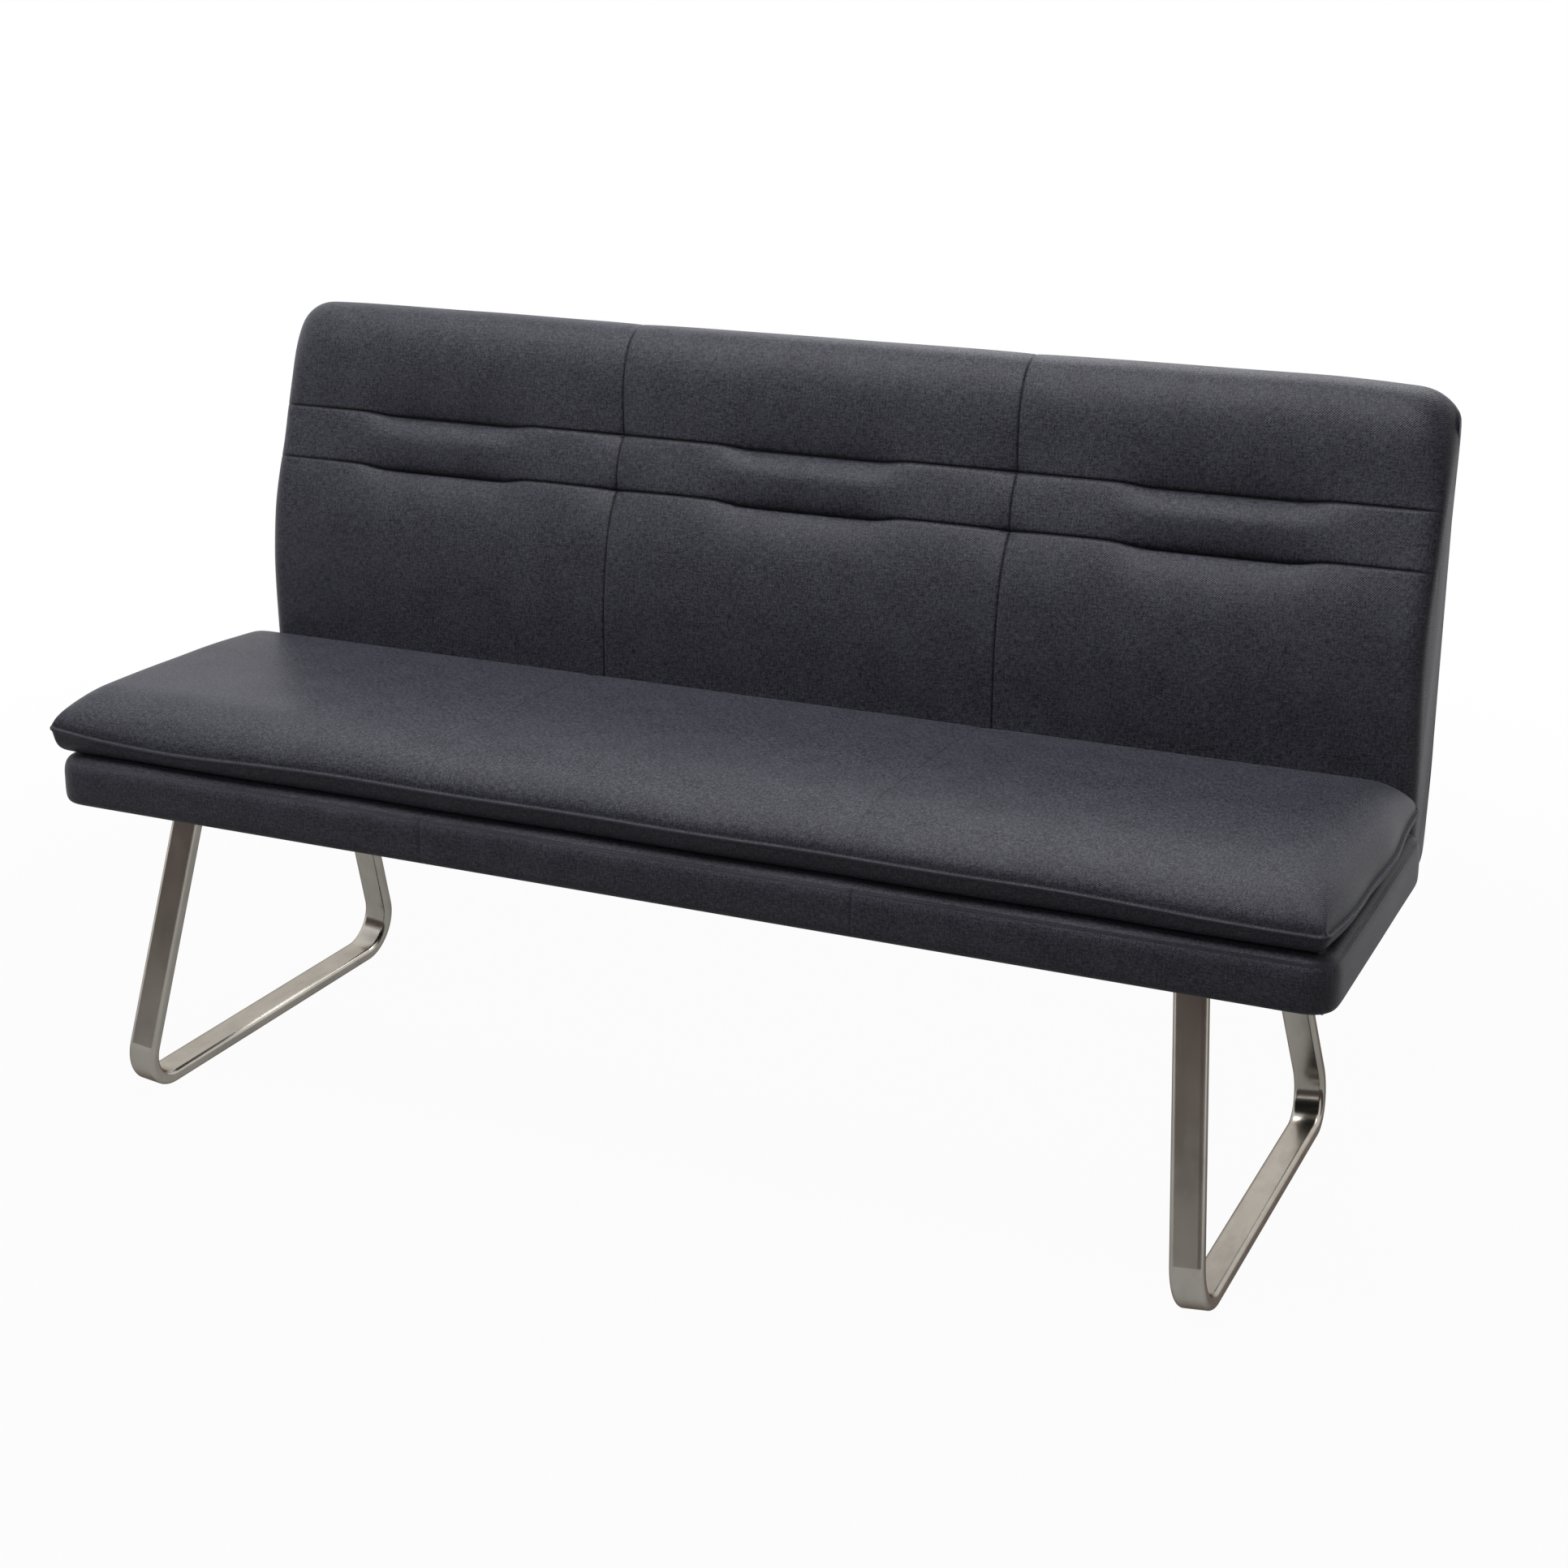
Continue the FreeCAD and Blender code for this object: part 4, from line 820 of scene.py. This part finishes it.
class BENCH_OT_back_rest(bpy.types.Operator):
    """Make the padded back with its seams and its two drawn in sewn lines"""

    bl_idname = "bench.back_rest"
    bl_label = "Back rest"

    def execute(self, context):
        shape = context.scene.bench_shape
        line, run, marks = back_outline()
        half = BACK_HIGH.x
        roll = shape.end_roll
        seams = (-shape.seam_x, shape.seam_x)
        apart, at_end, at_seam = 0.0105, 0.005, 0.0009
        straight = seamed_ruling(-half + roll, half - roll, apart, at_end, seams, at_seam)
        turns = np.sin(np.radians([15, 30, 45, 60, 75, 90]))
        stations = np.concatenate([
            -half + roll - roll * turns[::-1], straight, half - roll + roll * turns])
        piece = new_piece("back_rest", ruled_tube(len(line), len(stations)))
        where = places_of(piece.data)
        at = np.rint(where[:, 0]).astype(int)
        angle = np.arctan2(where[:, 2], where[:, 1])
        step = np.rint(angle / math.tau * len(line)).astype(int) % len(line)
        x = stations[at]
        along = np.roll(line, -1, axis=0) - np.roll(line, 1, axis=0)
        along /= np.linalg.norm(along, axis=1, keepdims=True)
        inward = np.stack([along[:, 1], -along[:, 0]], axis=1)
        place, tangent, normal = line[step], along[step], inward[step]
        length = run[-1] + math.dist(line[0], line[-1])
        between = abs(run[:, None] - run)
        between = np.minimum(between, length - between)
        soft_reach = 0.035
        softened = np.exp(-(between / soft_reach) ** 2) @ (inward * np.gradient(run)[:, None])
        softened /= np.linalg.norm(softened, axis=1, keepdims=True)
        round_in = softened[step]
        s = run[step]
        low, high, top = run[marks[0]], run[marks[1]], run[marks[2]]
        front = ease((top + 0.02 - s) / 0.05)
        seam_away = np.min([abs(x - e) for e in seams], axis=0)
        middles = (-(half + shape.seam_x) / 2, 0.0, (half + shape.seam_x) / 2)
        reach = np.min([abs(x - m) for m in middles], axis=0)
        gather = ease((shape.gather_half + 0.024 - reach) / 0.046)
        swell = ease((shape.gather_half + 0.060 - reach) / 0.125)

        def fall(mark, below, above):
            away = s - mark
            width = np.where(away < 0, below, above)
            return np.exp(-abs(away) / width)

        to_end = half - abs(x)
        end_zone = 0.13
        drawn_at_end, drawn_between, drawn_at_seam = 0.0008, 0.0052, 0.008
        drawn = drawn_at_end + drawn_between * ease(to_end / end_zone)
        drawn += shape.gather_depth * (0.4 * gather + 0.6 * swell)
        drawn += drawn_at_seam * np.exp(-seam_away / 0.024)
        inset = drawn * (fall(low, 0.030, 0.014) + 0.95 * fall(high, 0.015, 0.026))
        inset -= 0.003 * swell * np.exp(-((s - 0.55 * high - 0.45 * low) / 0.016) ** 2)
        line_width = 0.0012
        ruled = np.exp(-((s - low) / line_width) ** 2) + np.exp(-((s - high) / line_width) ** 2)
        sewn = np.exp(-(seam_away / at_seam) ** 2)
        inset += shape.seam_depth * np.maximum(ruled, sewn) * front
        puff = shape.panel_puff * (1 - np.exp(-seam_away / 0.030))
        tall = place[:, 1]
        puff *= front * ease(to_end / 0.10) * ease((tall - 0.47) / 0.22)
        uneven = rough(np.stack([x, place[:, 0], place[:, 1]], axis=1), 8.0, 1.9)
        inset += -puff + 0.0014 * uneven * front
        sag = shape.gather_sag * gather * (fall(low, 0.020, 0.020) + fall(high, 0.020, 0.020))
        behind = ease((s - top) / 0.05)
        turn = roll + (shape.top_roll - roll) * ease((tall - 0.76) / 0.14)
        rear_turn = shape.rear_roll + 0.006 * ease((tall - 0.45) / 0.25)
        turn += (rear_turn - turn) * behind
        droop = (0.0026 + 0.0018 * np.sign(x)) * ease(1 - to_end / 0.17)
        droop *= ease((tall - 0.80) / 0.1)
        left = np.clip(1 - to_end / turn, 0, 1)
        draw = turn * (1 - np.sqrt(np.maximum(1 - left ** 2, 0)))
        held = 1 - left ** 2
        place = place + round_in * draw[:, None] + normal * (inset * held)[:, None]
        place -= tangent * (sag * held)[:, None]
        clear = BACK_LOW.y - 0.012 * ease((place[:, 1] - 0.490) / 0.06)
        place[:, 0] = np.where(place[:, 1] < 0.56, np.maximum(place[:, 0], clear), place[:, 0])
        narrowed = ease((end_zone - to_end) / end_zone) * ease((tall - 0.45) / 0.2)
        new_x = x - (0.0035 + 0.0015 * np.sign(x)) * narrowed
        put_places(piece.data, np.stack([new_x, place[:, 0], place[:, 1] - droop], axis=1))
        on_end = (at == 0) | (at == len(stations) - 1)
        put_weave(piece.data, np.stack([x, s], axis=1), length, on_end, place)
        # Painted shade along the seams, the two sewn lines and the seam round each end.
        end_seam = np.exp(-((0.004 - to_end) / 0.002) ** 2) * (left < 1)
        put_seam_shade(piece.data, np.maximum(sewn, ruled) * front * held + 0.6 * end_seam)
        free = front * ease(seam_away / 0.02) * ease(to_end / 0.05)
        free *= ease((abs(s - low) - 0.02) / 0.03) * ease((abs(s - high) - 0.02) / 0.03)
        free *= ease((place[:, 1] - 0.50) / 0.05)
        simulate(piece, 1 - 0.7 * free)
        piece.data.materials.append(
            twill_cloth("back_twill", shape, context.scene.bench_colours))
        finish_soft(piece, 0.85, "back_cover", "back_padding")
        return {"FINISHED"}


# Finishes of the frame

class BENCH_OT_steel_skids(bpy.types.Operator):
    """Finish the two steel skids and the plates at the tops of their legs"""

    bl_idname = "bench.steel_skids"
    bl_label = "Steel skids"

    def execute(self, context):
        colours = context.scene.bench_colours
        dress(nodes_like("_skid"), brushed_steel("brushed_steel", colours.steel))
        dress(nodes_like("_leg_plate"), brushed_steel(
            "rolled_plate", colours.steel, (120.0, 20.0, 120.0), (0.32, 0.5)))
        return {"FINISHED"}


class BENCH_OT_fasteners(bpy.types.Operator):
    """Finish the bolts and nuts"""

    bl_idname = "bench.fasteners"
    bl_label = "Fasteners"

    def execute(self, context):
        zinc = brushed_steel(
            "bright_zinc", context.scene.bench_colours.zinc, (500.0, 500.0, 60.0), (0.28, 0.45))
        dress(nodes_like("_bolts", "_nuts"), zinc)
        return {"FINISHED"}


class BENCH_OT_glides(bpy.types.Operator):
    """Finish the four floor glides"""

    bl_idname = "bench.glides"
    bl_label = "Floor glides"

    def execute(self, context):
        dress(nodes_like("_glide"), grained_plastic(
            "glide_plastic", context.scene.bench_colours.glide))
        return {"FINISHED"}


class BENCH_OT_seat_frame(bpy.types.Operator):
    """Finish the wooden frame inside the upholstery and the lining under it"""

    bl_idname = "bench.seat_frame"
    bl_label = "Frame and lining"

    def execute(self, context):
        colours = context.scene.bench_colours
        dress(nodes_like("_rail", "_stile"), sawn_wood("softwood", colours.softwood, 90.0))
        dress(["seat_deck"], sawn_wood("plywood", colours.plywood, 160.0))
        dress(["seat_dust_cover"], felted_lining("black_lining", colours.lining))
        return {"FINISHED"}


# Stage

def seen_white(tree):
    """1 for rays on which the background shows white."""
    path = tree.nodes.new("ShaderNodeLightPath")
    total = path.outputs["Is Camera Ray"]
    for name in ("Is Glossy Ray", "Is Transmission Ray"):
        made = tree.nodes.new("ShaderNodeMath")
        made.operation = "MAXIMUM"
        tree.links.new(total, made.inputs[0])
        tree.links.new(path.outputs[name], made.inputs[1])
        total = made.outputs[0]
    return total


class BENCH_OT_studio(bpy.types.Operator):
    """Make the pale floor, the dark cards painted into the steel's reflections, the soft lights and
    the camera
    """

    bl_idname = "bench.studio"
    bl_label = "Studio"

    def execute(self, context):
        scene = context.scene
        scene.view_settings.view_transform = "Standard"
        self.lay_floor(scene)
        self.hang_cards()
        self.light(scene)
        self.place_camera(scene)
        return {"FINISHED"}

    def lay_floor(self, scene):
        bm = bmesh.new()
        bmesh.ops.create_grid(bm, x_segments=2, y_segments=2, size=FLOOR_SIZE)
        floor = new_piece("floor", bm)
        made = Finish("pale_floor")
        made.tree.nodes.remove(made.surface)
        matt = made.node("ShaderNodeBsdfDiffuse", {"Color": opaque(scene.bench_colours.floor)})
        white = made.node("ShaderNodeEmission", {"Color": WHITE, "Strength": 1.0})
        away = made.node("ShaderNodeVectorMath", {0: made.own_place()}, operation="LENGTH")
        near = {}
        for seen_by, least in NEAR_WHITE.items():
            near[seen_by] = made.node("ShaderNodeMapRange", {
                "Value": away.outputs["Value"], "From Min": SHADED_TO, "From Max": WHITE_FROM,
                "To Min": least, "To Max": 1.0}, interpolation_type="SMOOTHSTEP").outputs[0]
        path = made.node("ShaderNodeLightPath")
        share = made.between(path.outputs["Is Camera Ray"], near["steel"], near["camera"], "FLOAT")
        seen = made.sum("MULTIPLY", seen_white(made.tree), share)
        mix = made.node("ShaderNodeMixShader", {0: seen, 1: matt.outputs[0], 2: white.outputs[0]})
        made.tree.links.new(mix.outputs[0], made.tree.nodes["Material Output"].inputs["Surface"])
        floor.data.materials.append(made.material)

    def hang_cards(self):
        # Painted reflection: the cards glow dimly and hide from every ray but glossy ones, so the
        # steel mirrors a dark room.
        made = Finish("reflection_card")
        made.set(Roughness=1.0, Emission_Strength=1.0,
                 Base_Color=opaque(CARD_COLOUR), Emission_Color=opaque(CARD_GLOW))
        for name, place, turn, half in CARDS:
            bm = bmesh.new()
            bmesh.ops.create_grid(
                bm, x_segments=1, y_segments=1, size=1.0,
                matrix=Matrix.Translation(place) @ Matrix.Rotation(turn, 4, "Z")
                @ Matrix.Rotation(math.pi / 2, 4, "X") @ Matrix.Diagonal((*half, 1.0, 1.0)))
            card = new_piece(name, bm)
            card.data.materials.append(made.material)
            for ray in ("camera", "diffuse", "transmission", "volume_scatter", "shadow"):
                setattr(card, "visible_" + ray, False)

    def light(self, scene):
        world = bpy.data.worlds.new("studio")
        world.use_nodes = True
        scene.world = world
        tree = world.node_tree
        soft = tree.nodes["Background"]
        soft.inputs["Color"].default_value = opaque(AMBIENT_COLOUR)
        soft.inputs["Strength"].default_value = AMBIENT_STRENGTH
        white = tree.nodes.new("ShaderNodeBackground")
        white.inputs["Color"].default_value = WHITE
        white.inputs["Strength"].default_value = 1.0
        mix = tree.nodes.new("ShaderNodeMixShader")
        tree.links.new(seen_white(tree), mix.inputs[0])
        tree.links.new(soft.outputs[0], mix.inputs[1])
        tree.links.new(white.outputs[0], mix.inputs[2])
        tree.links.new(mix.outputs[0], tree.nodes["World Output"].inputs["Surface"])
        for name, place, target, size, power in LIGHTS:
            lamp = bpy.data.lights.new(name, "AREA")
            lamp.shape = "RECTANGLE"
            lamp.size, lamp.size_y = size
            lamp.energy = power
            made = bpy.data.objects.new(name, lamp)
            made.location = place
            aim = Vector(target) - Vector(place)
            made.rotation_euler = aim.to_track_quat("-Z", "Y").to_euler()
            made.visible_camera = False
            scene.collection.objects.link(made)

    def place_camera(self, scene):
        data = bpy.data.cameras.new("camera")
        data.sensor_width = CAMERA_SENSOR
        data.lens = CAMERA_LENS
        data.clip_end = CAMERA_REACH
        camera = bpy.data.objects.new("camera", data)
        scene.collection.objects.link(camera)
        turned = Matrix((CAMERA_RIGHT, CAMERA_UP, CAMERA_BACK)).transposed().to_4x4()
        camera.matrix_world = Matrix.Translation(CAMERA_PLACE) @ turned
        scene.camera = camera


class BENCH_PT_panel(bpy.types.Panel):
    """The bench's pieces and finishes"""

    bl_idname = "BENCH_PT_panel"
    bl_label = "Dining bench"
    bl_space_type = "VIEW_3D"
    bl_region_type = "UI"
    bl_category = "Bench"

    def draw(self, context):
        for maker in MAKERS:
            self.layout.operator(maker.bl_idname)
        for group in (context.scene.bench_shape, context.scene.bench_colours):
            column = self.layout.column(align=True)
            for name in group.__annotations__:
                column.prop(group, name)


MAKERS = (
    BENCH_OT_studio,
    BENCH_OT_seat_box,
    BENCH_OT_seat_cushion,
    BENCH_OT_cushion_stitching,
    BENCH_OT_back_rest,
    BENCH_OT_steel_skids,
    BENCH_OT_fasteners,
    BENCH_OT_glides,
    BENCH_OT_seat_frame,
)
CLASSES = (BenchShape, BenchColours, *MAKERS, BENCH_PT_panel)


def register():
    for made in CLASSES:
        bpy.utils.register_class(made)
    bpy.types.Scene.bench_shape = PointerProperty(type=BenchShape)
    bpy.types.Scene.bench_colours = PointerProperty(type=BenchColours)


def unregister():
    del bpy.types.Scene.bench_colours
    del bpy.types.Scene.bench_shape
    for made in reversed(CLASSES):
        bpy.utils.unregister_class(made)


def main():
    register()
    bpy.ops.bench.studio()
    bpy.ops.bench.seat_box()
    bpy.ops.bench.seat_cushion()
    bpy.ops.bench.cushion_stitching()
    bpy.ops.bench.back_rest()
    bpy.ops.bench.steel_skids()
    bpy.ops.bench.fasteners()
    bpy.ops.bench.glides()
    bpy.ops.bench.seat_frame()


if __name__ == "__main__":
    main()
